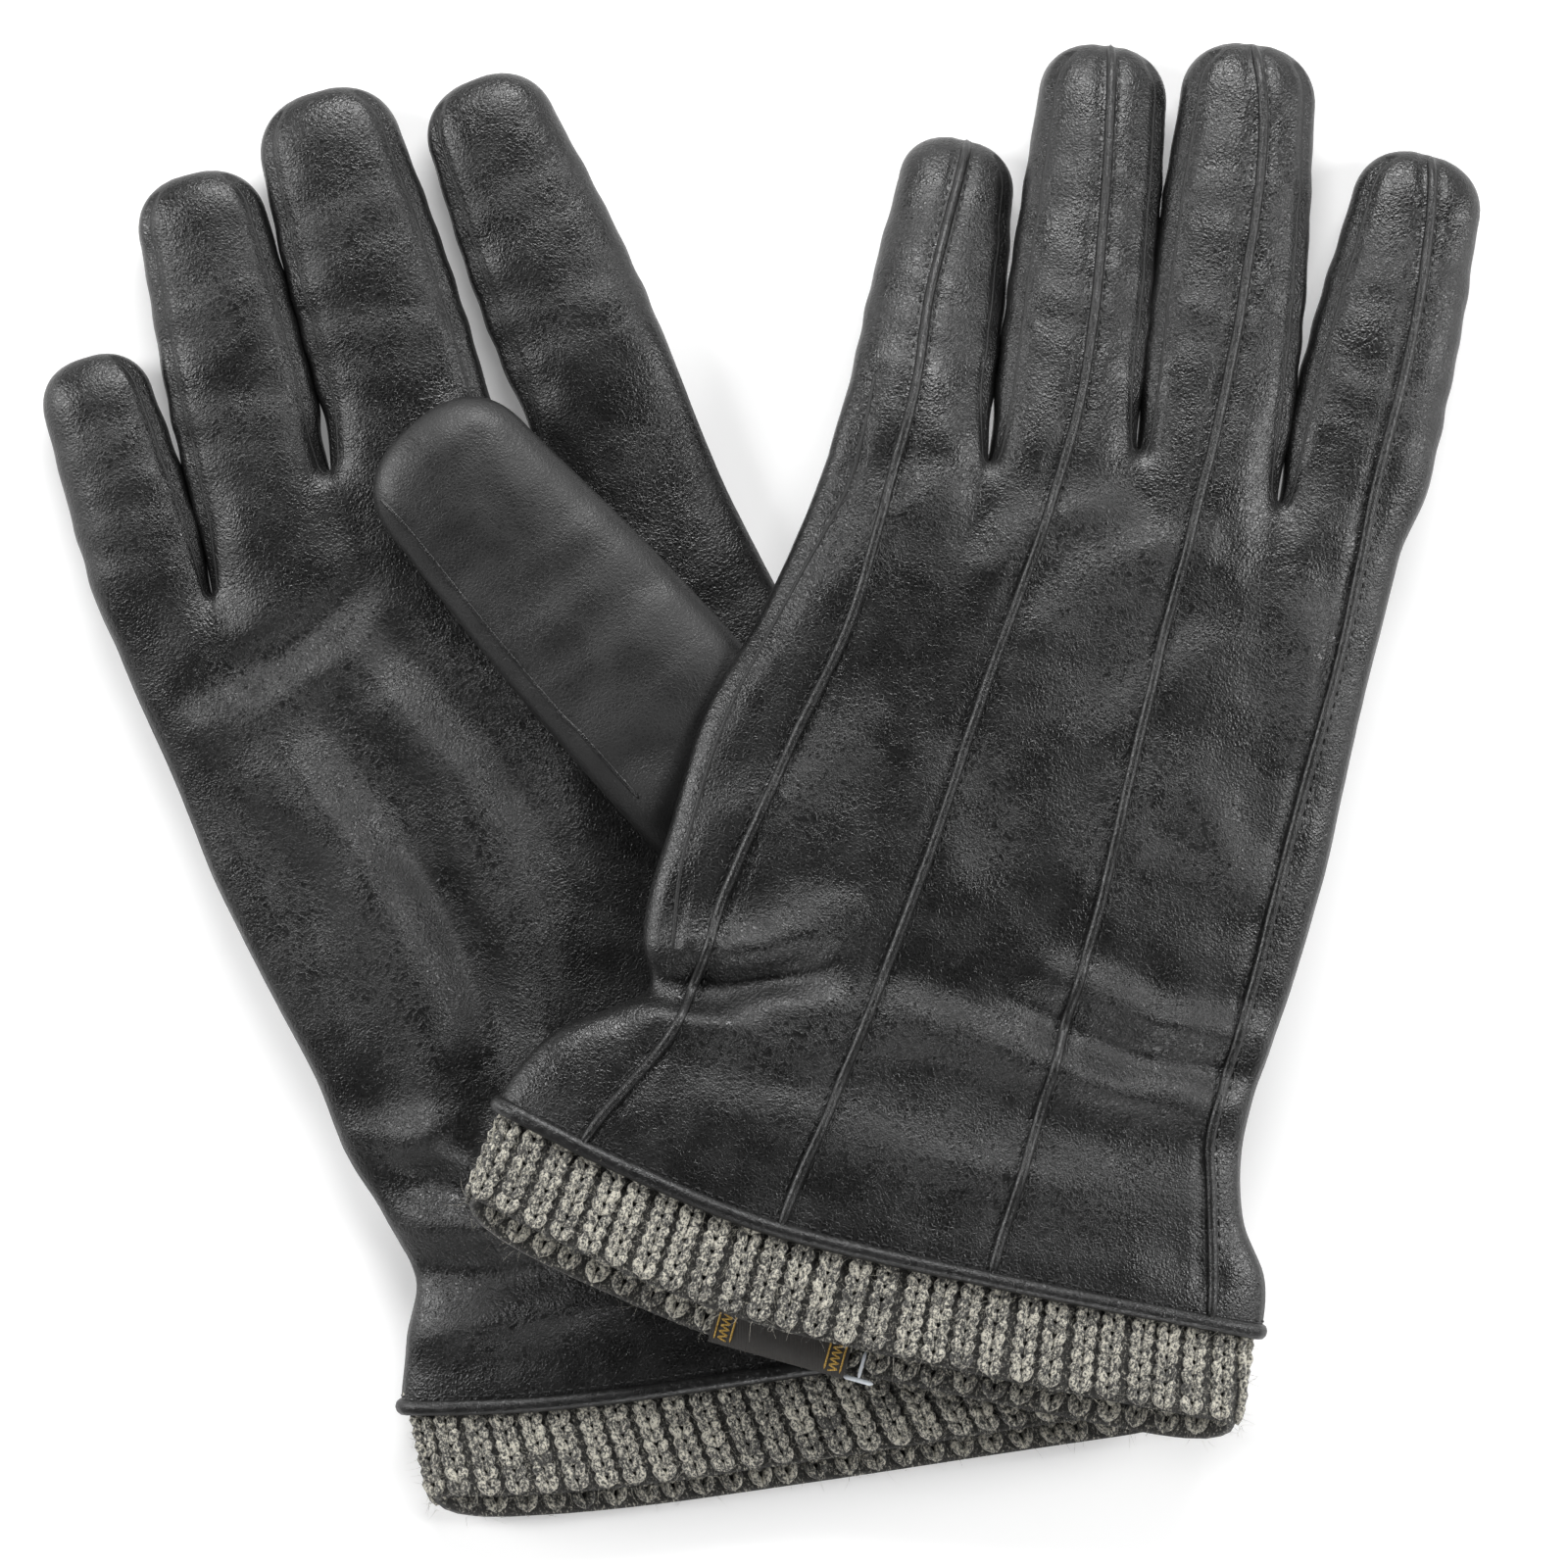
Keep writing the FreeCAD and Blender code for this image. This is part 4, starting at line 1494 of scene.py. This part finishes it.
@dataclass
class Points:
    """The raised seams on the back of the hand, each with a stitch row on both sides."""

    leather: Leather
    bench: Bench
    width: float = 1.9
    height: float = 1.7
    stand: float = 0.22
    row_gap: float = 1.55
    spacing: float = 0.9
    clearance: float = 0.8

    def build(self) -> None:
        """Makes each seam and its stitches."""
        for finger in self.leather.pattern.fingers:
            self.one(finger)
        if self.leather.pattern.side_seam:
            self.outer_seam(self.leather.pattern.side_seam)

    def outer_seam(self, line: Sequence[tuple]) -> None:
        """The sunk seam that closes the hand along its little-finger side.

        Args:
            line: its corners.
        """
        points, up = self.surface_line(line)
        body, faces = swept(points - up * 0.04, up, round_outline(0.8, 0.5, 6, 0.02))
        seam = self.bench.piece("hand_side_seam", body, faces, self.bench.paints.thread, "black_textile",
                                ["hand_leather"])
        self.bench.ride(seam)

    def surface_line(self, line: Sequence[tuple], offset: float = 0.0) -> tuple:
        """Follows a line over the back of the glove.

        Args:
            line: its corners, from the fingertip to the cuff.
            offset: how far to its side the followed line runs.

        Returns:
            (points, directions) on the surface.
        """
        corners = np.array(line, float)
        run = run_along(corners)
        marks = np.linspace(0, run[-1], int(run[-1] / self.spacing))
        flat = np.stack([ease(list(zip(run, corners[:, k])), marks) for k in range(2)], axis=1)
        way = unit(np.gradient(flat, axis=0))
        flat = flat + np.stack([-way[:, 1], way[:, 0]], axis=1) * offset
        cast = self.leather.on_top if self.leather.pattern.back_up else self.leather.below
        hits = [cast(x, y) for x, y in flat]
        hits = [hit for hit in hits if hit[0] is not None]
        points = np.array([tuple(hit[0]) for hit in hits])
        up = np.array([tuple(hit[1]) for hit in hits])
        return evened(points, 6), unit(evened(up, 6))

    def one(self, finger: Finger) -> None:
        """Makes one finger's seam.

        Args:
            finger: the finger.
        """
        line = self.leather.pattern.cords[finger.digit]
        name = finger.digit.value
        points, up = self.surface_line(line)
        phase = np.arange(len(points)) * self.spacing
        pucker = 1 + 0.10 * np.sin(phase * 2 * math.pi / 2.3)
        path = points + up * self.stand * pucker[:, None]
        if not self.leather.pattern.back_up:
            path = self.leather.pattern.above(path, self.clearance)
        body, faces = swept(path, up, round_outline(self.width, self.height, 10, 0.015))
        nodes = [f"{name}_finger_point", "hand_points"]
        cord = self.bench.piece(f"{name}_point", body, faces, self.bench.paints.rolled,
                                "nappa_leather", nodes)
        self.bench.bend(cord, finger)
        thread = Mesh()
        for side in (-1, 1):
            row, row_up = self.surface_line(line, side * self.row_gap)
            if not self.leather.pattern.back_up:
                row = self.leather.pattern.above(row, self.clearance)
            Stitching(self.bench).lay(thread, row, row_up)
        obj = self.bench.piece(f"{name}_point_stitches", np.array(thread.points), thread.faces,
                               self.bench.paints.thread, "black_textile", nodes)
        self.bench.bend(obj, finger)


@dataclass
class StallSeams:
    """The sunk seams between each finger's top and its side strips."""

    leather: Leather
    bench: Bench
    width: float = 0.80
    height: float = 0.40

    def build(self) -> None:
        """Makes the seams of every finger."""
        last = len(self.leather.pattern.fingers) - 1
        for index, finger in enumerate(self.leather.pattern.fingers):
            self.one(finger, ([0] if index > 0 else []) + ([1] if index < last else []))

    def one(self, finger: Finger, edges: Sequence[int]) -> None:
        """Makes one finger's seams.

        Args:
            finger: the finger.
            edges: 0 for its little-finger side, 1 for the other.
        """
        leather = self.leather
        name = finger.digit.value
        lead = leather.lead[name]
        seam = Mesh()
        for edge in edges:
            column = edge * leather.panel_cols
            rows = lead[: int(len(lead) * leather.seam_share)]
            line = np.array([leather.at[row[column]] for row in rows])
            up = np.array([leather.normals[row[column]] for row in rows])
            points, faces = swept(line - up * 0.02, up, round_outline(self.width, self.height, 6, 0.03))
            seam.add(points, faces)
        nodes = [f"{name}_finger_fourchettes", "hand_fourchettes"]
        obj = self.bench.piece(f"{name}_finger_seams", np.array(seam.points), seam.faces,
                               self.bench.paints.thread, "black_textile", nodes)
        self.bench.bend(obj, finger)


@dataclass
class Thumb:
    """The thumb stall: a tapering, slightly flattened tube set on the palm side."""

    leather: Leather
    bench: Bench
    rows: int = 90
    cols: int = 48
    power: float = 2.3
    tail_sink: float = 12.0
    clearance: float = 0.4
    lining_inset: float = 1.7
    crease_reach: float = 13.0
    fold_pitch: float = 11.0
    fold_reach: float = 14.0

    def build(self) -> None:
        """Makes the thumb's leather and lining."""
        pattern, bench = self.leather.pattern, self.bench
        thumb = pattern.thumb
        frame = shifted(0, 0, pattern.thumb_rise) @ thumb.frame()
        local, faces = self.tube(thumb, 0.0)
        points = carried(frame, local)
        crease = np.exp(-((local[:, 1] - thumb.bend) / self.crease_reach) ** 2)
        obj = bench.piece("thumb_leather", self.clear(points), faces, bench.paints.thumb_leather,
                          "nappa_leather", ["thumb_leather"], {"crease": crease * 0.6})
        bench.bend(obj, thumb, pattern.thumb_rise)
        local, faces = self.tube(thumb, self.lining_inset)
        inside = self.clear(carried(frame, local))
        obj = bench.piece("thumb_lining", inside, [face[::-1] for face in faces], bench.paints.shaded_inner_yarn,
                          "wool_lining", ["thumb_lining"], {"strand": np.full(len(inside), 0.35)})
        bench.bend(obj, thumb, pattern.thumb_rise)
        self.seam(thumb, frame)

    def clear(self, points: np.ndarray) -> np.ndarray:
        """Keeps the thumb off the table."""
        return self.leather.pattern.above(points, self.clearance, self.leather.give)

    def half_width(self, thumb: Finger, far: float, run: float) -> float:
        """Half of the stall's width at a distance from its root, before the tip closes."""
        stops = list(zip((-4.0, far * 0.5, far - thumb.tip_round), thumb.widths))
        return float(ease(stops, np.array(run))) / 2

    def tube(self, thumb: Finger, inset: float) -> tuple:
        """The stall in its own frame, drawn in by inset.

        Args:
            thumb: its sizes.
            inset: how far inside the leather it lies.

        Returns:
            (points, faces).
        """
        angle = np.arange(self.cols) * 2 * math.pi / self.cols
        far = thumb.length - inset
        tail = self.leather.pattern.thumb_tail
        along_it = 1 - (1 - np.linspace(0, 1, self.rows + 1)[:-1]) ** 1.35
        runs = -tail + (far + tail) * along_it
        rings = []
        for run in runs:
            over = max(0.0, (run - (far - thumb.tip_round)) / thumb.tip_round)
            close = (1 - min(over, 1.0) ** 2.5) ** (1 / 2.5)
            half = (self.half_width(thumb, far, run) - inset) * close
            half *= 0.74 + 0.26 * float(smooth(-tail, 6.0, run))
            swell = self.leather.pattern.thumb_swell * math.exp(-((run - 14.0) / 24.0) ** 2)
            tall = (thumb.thick / 2 + swell * 0.25 - inset) * (0.2 + 0.8 * close) * min(1.0, close * 4)
            tall *= 0.3 + 0.7 * float(smooth(-tail, 8.0, run))
            x = squared(np.cos(angle), self.power) * half
            z = -squared(np.sin(angle), self.power) * tall
            past = run - thumb.bend
            wave = 0.5 * np.cos((past + x * 0.12) * 2 * math.pi / self.fold_pitch)
            wave *= math.exp(-(past / self.fold_reach) ** 2)
            lie = np.sign(self.leather.pattern.thumb_rise)
            sink = -self.tail_sink * lie * (1 - float(smooth(-tail, 26.0, run)))
            rings.append(np.stack([x, np.full(self.cols, run), z * (1 + wave * 0.06) + sink], axis=1))
        points = np.concatenate([*rings, [[0.0, far, 0.0]]])
        points[:, 2] += 0.45 * vnoise(points, 0.07, 4.0) + 0.2 * vnoise(points, 0.2, 8.0)
        faces = tube_faces(self.rows, self.cols)
        pole = len(points) - 1
        first = (self.rows - 1) * self.cols
        faces += [(first + c, first + (c + 1) % self.cols, pole) for c in range(self.cols)]
        return points, faces

    def seam(self, thumb: Finger, frame: Matrix) -> None:
        """The seam that runs down the outer side of the thumb.

        Args:
            thumb: its sizes.
            frame: its frame in the glove's.
        """
        local, faces = self.tube(thumb, 0.0)
        tree = BVHTree.FromPolygons([Vector(p) for p in local], faces)
        inner = -0.62 if not self.leather.pattern.back_up else 0.62
        line, up = [], []
        for run in np.arange(12.0, thumb.length - 5.0, 1.0):
            reach = inner * self.half_width(thumb, thumb.length, run) * (1.28 if run > 30 else 1.24)
            hit = tree.ray_cast(Vector((reach, run, 40.0)), Vector((0, 0, -1)))
            if hit[0] is not None:
                line.append(tuple(hit[0]))
                up.append(tuple(hit[1]))
        line, up = evened(np.array(line), 4), unit(evened(np.array(up), 4))
        body, body_faces = swept(line - up * 0.1, up, round_outline(1.0, 0.8, 8, 0.03))
        obj = self.bench.piece("thumb_seam", self.clear(carried(frame, body)), body_faces,
                               self.bench.paints.rolled, "nappa_leather", ["thumb_leather"])
        self.bench.bend(obj, thumb, self.leather.pattern.thumb_rise)


@dataclass
class Cuff:
    """The rolled edge, the ribbed wool cuff inside it and the hidden wrist elastic."""

    leather: Leather
    bench: Bench
    roll: float = 3.1
    shown: float = 18.0
    hidden: float = 2.5
    rib_pitch: float = 5.3
    stitch_rise: float = 2.45
    knit_inset: float = 1.5
    clearance: float = 0.15
    half_wide: float = 75.0
    sleeve_faces: tuple = (-0.55, -1.6)
    rib_faces: tuple = ((0.35, True), (-2.2, False))
    elastic_half: float = 33.0
    elastic_rows: tuple = (27.0, 30.0, 33.0)
    elastic_thick: float = 0.5
    fibres: int = 2600

    def build(self) -> None:
        """Makes the cuff's pieces."""
        self.binding()
        self.knit()
        self.elastic()

    def binding(self) -> None:
        """The rolled edge with a close row of stitches above it."""
        bench = self.bench
        at = self.leather.at[:self.leather.ring]
        loop = resampled(np.concatenate([at, at[:1]]), 0.9)[:-1]
        middle = loop.mean(axis=0)
        out = unit((loop - middle) * np.array([0.12, 0, 1.0]))
        angle = np.arange(10) * 2 * math.pi / 10
        tall, wide = np.cos(angle)[:, None] * self.roll / 2, np.sin(angle)[:, None] * 1.3
        down = np.array([0.0, 1.0, 0.0])
        rings = []
        for k, (point, way) in enumerate(zip(loop, out)):
            pucker = 1 + 0.06 * math.sin(k * 0.9 * 2 * math.pi / 2.2)
            rings.append(point - down * 0.3 - way * 0.25 + tall * down + wide * pucker * way)
        rows, cols = len(rings), len(angle)
        faces = [(r * cols + c, r * cols + (c + 1) % cols, ((r + 1) % rows) * cols + (c + 1) % cols,
                  ((r + 1) % rows) * cols + c) for r in range(rows) for c in range(cols)]
        points = self.lifted(np.concatenate(rings))
        bench.ride(bench.piece("cuff_binding", points, faces, bench.paints.rolled, "binding_leather",
                               ["cuff_binding"]))
        count = self.leather.ring
        row = self.leather.at[2 * count:3 * count] * 0.5 + self.leather.at[count:2 * count] * 0.5
        up = self.leather.normals[count:2 * count]
        thread = Mesh()
        row, up = np.concatenate([row, row[:1]]), np.concatenate([up, up[:1]])
        Stitching(bench, 1.5, 0.75, 0.42).lay(thread, row, up)
        bench.ride(bench.piece("cuff_stitches", self.lifted(np.array(thread.points)), thread.faces,
                               bench.paints.thread, "black_textile", ["cuff_binding"]))

    def lifted(self, points: np.ndarray) -> np.ndarray:
        """Keeps points off the table."""
        return self.leather.pattern.above(points, self.clearance)

    def cuff_ring(self, drop: float, grow: float = 0.0) -> np.ndarray:
        """The ring the knitted cuff follows, below the leather's edge.

        Args:
            drop: distance below the edge, less than nothing inside the glove.
            grow: how far it stands out of the knit's middle.

        Returns:
            Points round it.
        """
        at = self.leather.at[:self.leather.ring]
        middle = at.mean(axis=0)
        flare = 1 + 0.10 * max(drop, 0) / self.shown
        ring = at.copy()
        half_thick = np.abs(at[:, 2] - middle[2]).max()
        inset = self.knit_inset + 0.8 - grow
        spread = 1 + 0.035 * max(drop, 0) / self.shown
        ring[:, 0] = middle[0] + (at[:, 0] - middle[0]) * (1 - inset / self.half_wide) * spread
        ring[:, 2] = middle[2] + (at[:, 2] - middle[2]) * (1 - inset / half_thick) * flare
        lip = 1.0 + 0.28 * smooth(-0.2, 0.8, (middle[2] - at[:, 2]) / half_thick)
        ring[:, 1] = at[:, 1] - drop * (lip if drop > 0 else 1.0)
        return ring

    def knit(self) -> None:
        """The ribbed cuff: columns of V stitches on a sleeve coloured dark as painted shade between the
        ribs, with a haze of loose fibres.
        """
        bench = self.bench
        drops = np.linspace(-self.hidden, self.shown, 30)
        rings = [self.cuff_ring(drop, self.sleeve_faces[0]) for drop in drops]
        outer = np.concatenate(rings)
        inner = np.concatenate([self.cuff_ring(drop, self.sleeve_faces[1]) for drop in drops])
        cols = self.leather.ring
        faces = [face[::-1] for face in tube_faces(len(drops), cols)]
        shift = len(outer)
        faces += [tuple(shift + k for k in face) for face in tube_faces(len(drops), cols)]
        last = (len(drops) - 1) * cols
        for c in range(cols):
            d = (c + 1) % cols
            faces.append((last + c, shift + last + c, shift + last + d, last + d))
        for c in range(cols):
            d = (c + 1) % cols
            faces.append((c, d, shift + d, shift + c))
        sleeve = np.concatenate([outer, inner])
        wool = Mesh()
        # The sleeve under the ribs takes a low strand number, so its wool comes out dark: painted shade in
        # the recesses between the ribs.
        wool.add(sleeve, faces, 0.10)
        self.ribs(wool)
        obj = bench.piece("knit_cuff", self.lifted(np.array(wool.points)), wool.faces, bench.paints.yarn,
                          "wool_knit", ["knit_cuff"], {"strand": np.array(wool.strand)})
        bench.ride(obj)
        fuzz = Mesh()
        self.fuzz(fuzz)
        obj = bench.piece("knit_cuff_fibres", self.lifted(np.array(fuzz.points)), fuzz.faces,
                          bench.paints.yarn, "wool_knit", ["knit_cuff"], {"strand": np.array(fuzz.strand)})
        bench.ride(obj)

    def ribs(self, wool: Mesh) -> None:
        """Adds the V stitches of every rib, outside and inside the cuff.

        Args:
            wool: the mesh to add to.
        """
        rng = np.random.default_rng(11 if self.bench.pattern.back_up else 12)
        for grow, outside in self.rib_faces:
            self.rib_round(wool, rng, grow, outside)

    def rib_round(self, wool: Mesh, rng: np.random.Generator, grow: float, outside: bool) -> None:
        """Adds one face of the cuff's ribs.

        Args:
            wool: the mesh to add to.
            rng: the source of small differences.
            grow: how far the face stands out of the knit's middle.
            outside: whether it is the outer face.
        """
        rows = int((self.shown + 2.5) / self.stitch_rise)
        levels = [self.level(-2.0 + k * self.stitch_rise, grow) for k in range(rows + 2)]
        run = levels[0][1]
        ribs = int(round(run[-1] / self.rib_pitch))
        outline = round_outline(2.0, 1.7, 7, 0.30)
        for rib in range(ribs):
            place = (rib + (0.0 if outside else 0.5)) / ribs
            wander = rng.normal(0, 0.0008)
            for row in range(rows):
                shade = float(np.clip(rng.normal(0.52, 0.10), 0.05, 1.0))
                low = self.read(levels[row + 1], place + wander)
                high = self.read(levels[row], place + wander)
                side = self.read(levels[row], place + wander + 0.002) - high
                across = unit(side[None])[0]
                out = unit(np.cross(high - low, across)[None])[0] * (1 if outside else -1)
                if row == 0 and not outside:
                    continue
                for hand in (-1, 1):
                    jitter = rng.normal(0, 0.12, 3)
                    foot = low + across * hand * 0.12 + jitter * 0.5
                    head = high + across * hand * 1.55 - (low - high) * 0.35 + jitter * 0.5
                    mid = (foot + head) / 2 + across * hand * 0.35 + out * 0.35
                    lower = foot * 0.4 + mid * 0.6 + out * 0.1
                    spine = np.array([foot, lower, mid, head * 0.5 + mid * 0.5, head])
                    points, faces = swept(spine, np.tile(out, (5, 1)), outline)
                    wool.add(points, faces, shade + float(rng.normal(0, 0.05)))

    def level(self, drop: float, grow: float) -> tuple:
        """One ring of the cuff and the run along it.

        Args:
            drop: distance below the leather's edge.
            grow: how far it stands out of the knit's middle.

        Returns:
            (points, distances).
        """
        ring = self.cuff_ring(drop, grow)
        ring = np.concatenate([ring, ring[:1]])
        return ring, run_along(ring)

    def read(self, level: tuple, share: float) -> np.ndarray:
        """The point at a share of a ring's length.

        Args:
            level: the ring and its run.
            share: the share.

        Returns:
            The point.
        """
        ring, run = level
        return read_line(ring, run, (share % 1.0) * run[-1])

    def fuzz(self, fuzz: Mesh) -> None:
        """Adds fine loose fibres over the ribs and the lip.

        Args:
            fuzz: the mesh to add to.
        """
        rng = np.random.default_rng(5 if self.bench.pattern.back_up else 6)
        levels = [self.level(drop, 0.7) for drop in np.linspace(0.5, self.shown, 12)]
        middle = self.leather.at[:self.leather.ring].mean(axis=0)
        triangle = np.array([[math.cos(a), math.sin(a)] for a in (0.3, 2.4, 4.5)]) * 0.035
        for _ in range(self.fibres):
            point = self.read(levels[int(rng.integers(0, 12))], float(rng.random()))
            away = unit(((point - middle) * np.array([0.1, 0.0, 1.0]))[None])[0]
            way = unit((rng.normal(0, 1, 3) + away * 0.5 + np.array([0, -0.5, 0]))[None])[0]
            length = float(rng.uniform(1.2, 3.4))
            bend = rng.normal(0, 0.45, 3)
            marks = np.linspace(0, 1, 4)[:, None]
            spine = point + way * marks * length + bend * marks ** 2 * length * 0.6
            points, faces = swept(spine, np.tile(away + 0.01, (4, 1)),
                                  lambda share: triangle * (1 - 0.6 * share))
            fuzz.add(points, faces, float(rng.choice([0.15, 0.45, 0.95], p=[0.3, 0.25, 0.45])))

    def elastic(self) -> None:
        """The flat elastic sewn inside the palm side of the wrist."""
        pattern = self.leather.pattern
        cast = self.leather.below if pattern.back_up else self.leather.on_top
        inward = 1.15
        points = []
        xs = np.linspace(-self.elastic_half, self.elastic_half, 41)
        for x in xs:
            for y in self.elastic_rows:
                hit = cast(float(x), y)
                points.append(np.array(hit[0]) - np.array(hit[1]) * inward)
        top = np.array(points)
        thick = np.array([0, 0, self.elastic_thick if pattern.back_up else -self.elastic_thick])
        body = np.concatenate([top, top + thick])
        shift = len(top)
        flat = tube_faces(len(xs), 3, closed=False)
        faces = [face[::-1] for face in flat] + [tuple(shift + k for k in face) for face in flat]
        for k in range(len(xs) - 1):
            for edge in (0, 2):
                a, b = k * 3 + edge, (k + 1) * 3 + edge
                faces.append((a, b, shift + b, shift + a))
        obj = self.bench.piece("wrist_elastic", body, faces, self.bench.paints.thread, "black_textile",
                               ["wrist_elastic"])
        self.bench.ride(obj)


@dataclass
class SizeLabel:
    """The folded satin label sewn in the cuff mouth, with a woven gold border, and the tag pin."""

    leather: Leather
    bench: Bench
    width: float = 26.0
    length: float = 17.0
    slide: float = 10.6
    lift: float = 2.5
    line_gaps: tuple = (0.9, 3.9)
    zigzag_gaps: tuple = (3.3, 1.5)
    thread_lift: float = 0.12
    pin_half: float = 2.9
    bar_half: float = 3.0

    def build(self) -> None:
        """Makes the label, its border and the pin's finish."""
        low, high = (np.array(corner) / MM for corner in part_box("left_size_label"))
        frame = self.leather.pattern.frame()
        middle = (low + high) / 2
        across = np.array(frame.to_3x3() @ Vector((1, 0, 0)))
        down = np.array(frame.to_3x3() @ Vector((0, -1, 0)))
        out = np.array(frame.to_3x3() @ Vector((0, 0, 1)))
        self.shift = out * self.lift + down * self.slide
        middle = middle + self.shift
        self.middle, self.across, self.down, self.out = middle, across, down, out
        xs = np.linspace(-self.width / 2, self.width / 2, 27)
        ys = np.linspace(-self.length / 2, self.length / 2, 18)
        points = np.array([self.spot(x, y) for y in ys for x in xs])
        faces = tube_faces(len(ys), len(xs), closed=False)
        label = self.bench.piece("size_label", points, faces, self.bench.paints.satin, "label_satin",
                                 ["size_label"], in_glove=False)
        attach(label, self.bench.body)
        self.width * MM
        self.border()
        self.pin()

    def spot(self, x: float, y: float, lift: float = 0.0) -> np.ndarray:
        """A place on the label, bowed a little like the cuff it is sewn in."""
        bow = 0.35 * math.cos(x / self.width * math.pi)
        return self.middle + self.across * x + self.down * y + self.out * (bow + lift)

    def border(self) -> None:
        """At each end of the label, two straight gold lines with a zigzag between them."""
        thread = Mesh()
        reach = self.length / 2 - 0.8
        marks = np.linspace(-reach, reach, 29)
        for end in (-1, 1):
            rows = []
            for gap in self.line_gaps:
                x = end * (self.width / 2 - gap)
                rows.append(np.array([self.spot(x, y, self.thread_lift) for y in marks]))
            zigzag = []
            for k, y in enumerate(marks):
                x = end * (self.width / 2 - self.zigzag_gaps[k % 2])
                zigzag.append(self.spot(x, y, self.thread_lift))
            rows.append(resampled(np.array(zigzag), 0.3))
            for row in rows:
                up = np.tile(self.out, (len(row), 1))
                points, faces = swept(row, up, round_outline(0.36, 0.16, 6, 0.01))
                thread.add(points, faces)
        obj = self.bench.piece("label_border", np.array(thread.points), thread.faces, self.bench.paints.gold,
                               "label_satin", ["size_label"], in_glove=False)
        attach(obj, self.bench.body)

    def pin(self) -> None:
        """The clear pin that held the shop's tag: a shaft with a bar at its end."""
        low, high = (np.array(corner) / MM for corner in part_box("left_tag_pin"))
        middle = (low + high) / 2 + self.shift
        pin = Mesh()
        end = middle + self.down * self.pin_half
        side = self.across * self.bar_half
        shaft = np.array([middle - self.down * self.pin_half, middle, end])
        bar = np.array([end - side, end, end + side])
        for path, width in ((resampled(shaft, 1.0), 0.7), (resampled(bar, 0.6), 0.9)):
            up = np.tile(self.out, (len(path), 1))
            points, faces = swept(path, up, round_outline(width, width, 8, 0.08))
            pin.add(points, faces)
        obj = self.bench.piece("tag_pin", np.array(pin.points), pin.faces, self.bench.paints.plastic,
                               "clear_plastic", ["tag_pin"], in_glove=False)
        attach(obj, self.bench.body)


@dataclass
class GlovePair:
    """Both gloves, one lying across the other."""

    paints: Paints

    def build(self) -> None:
        """Makes the lower glove, then the upper."""
        for pattern in (right_pattern(), left_pattern()):
            pattern.settle()
            log.info("%s glove", pattern.side.value)
            leather = Leather(pattern)
            leather.build()
            bench = Bench(pattern, self.paints)
            Skin(leather, bench).build()
            Points(leather, bench).build()
            StallSeams(leather, bench).build()
            Thumb(leather, bench).build()
            Cuff(leather, bench).build()
            if pattern.side is Side.LEFT:
                SizeLabel(leather, bench).build()


# ---------------------------------------------------------------- studio


@dataclass
class Studio:
    """A white table under soft light, seen from straight above."""

    paints: Paints
    table: float = 6.0
    field_of_view: float = 0.296
    camera_height: float = 1.233
    centre: tuple = (0.0042, -0.0007)
    sensor: float = 36.0
    wall: float = 0.70
    ceiling: float = 0.03
    wall_top: float = 0.12
    ceiling_edge: float = 0.45

    def build(self) -> None:
        """Makes the table, lights, sky and camera."""
        self.floor()
        self.lamp("soft_left", (-1.10, 0.30, 0.72), (0.45, 0.9), 13.0)
        self.lamp("soft_right", (1.10, 0.15, 0.70), (0.36, 0.7), 9.5)
        self.lamp("soft_far", (0.10, 1.00, 0.85), (0.9, 0.36), 17.5)
        self.lamp("soft_near", (0.25, -1.10, 0.66), (0.7, 0.26), 6.0)
        self.room()
        bpy.context.scene.view_settings.view_transform = "Standard"
        data = bpy.data.cameras.new("camera")
        data.sensor_width = self.sensor
        data.lens = self.sensor * self.camera_height / self.field_of_view
        data.clip_start = 0.05
        data.clip_end = 20.0
        camera = bpy.data.objects.new("camera", data)
        camera.location = (*self.centre, self.camera_height)
        bpy.context.collection.objects.link(camera)
        bpy.context.scene.camera = camera

    def room(self) -> None:
        """Pale walls round the table and a dim ceiling over it."""
        graph = Graph(bpy.data.worlds.new("pale_room"))
        where = graph.add("ShaderNodeTexCoord", output="Generated")
        rise = graph.add("ShaderNodeSeparateXYZ", {}, {0: where}, output="Z")
        strength = rise.ramp(self.wall_top, self.ceiling_edge, self.wall, self.ceiling)
        sky = {"Color": grey(1.0), "Strength": strength}
        graph.add("ShaderNodeOutputWorld", {}, {"Surface": graph.add("ShaderNodeBackground", {}, sky)})
        bpy.context.scene.world = graph.owner

    def floor(self) -> None:
        """The table under the gloves."""
        half = self.table / 2
        mesh = bpy.data.meshes.new("table")
        corners = [(-half, -half, 0), (half, -half, 0), (half, half, 0), (-half, half, 0)]
        mesh.from_pydata(corners, [], [(0, 1, 2, 3)])
        mesh.materials.append(self.paints.floor)
        floor = bpy.data.objects.new("table", mesh)
        bpy.context.collection.objects.link(floor)

    def lamp(self, name: str, place: tuple, size: tuple, power: float) -> None:
        """Adds a soft area lamp that faces the gloves.

        Args:
            name: its name.
            place: where it hangs.
            size: its width and height.
            power: its power in watts.
        """
        data = bpy.data.lights.new(name, "AREA")
        data.shape = "RECTANGLE"
        data.size, data.size_y = size
        data.energy = power
        lamp = bpy.data.objects.new(name, data)
        lamp.location = place
        lamp.rotation_euler = (Vector((0, 0, 0)) - Vector(place)).to_track_quat("-Z", "Y").to_euler()
        bpy.context.collection.objects.link(lamp)


def main() -> None:
    """Builds the gloves and the studio."""
    logging.basicConfig(level=logging.INFO, format="%(name)s: %(message)s")
    paints = Paints()
    GlovePair(paints).build()
    Studio(paints).build()
    bpy.context.view_layer.update()


if __name__ == "__main__":
    main()
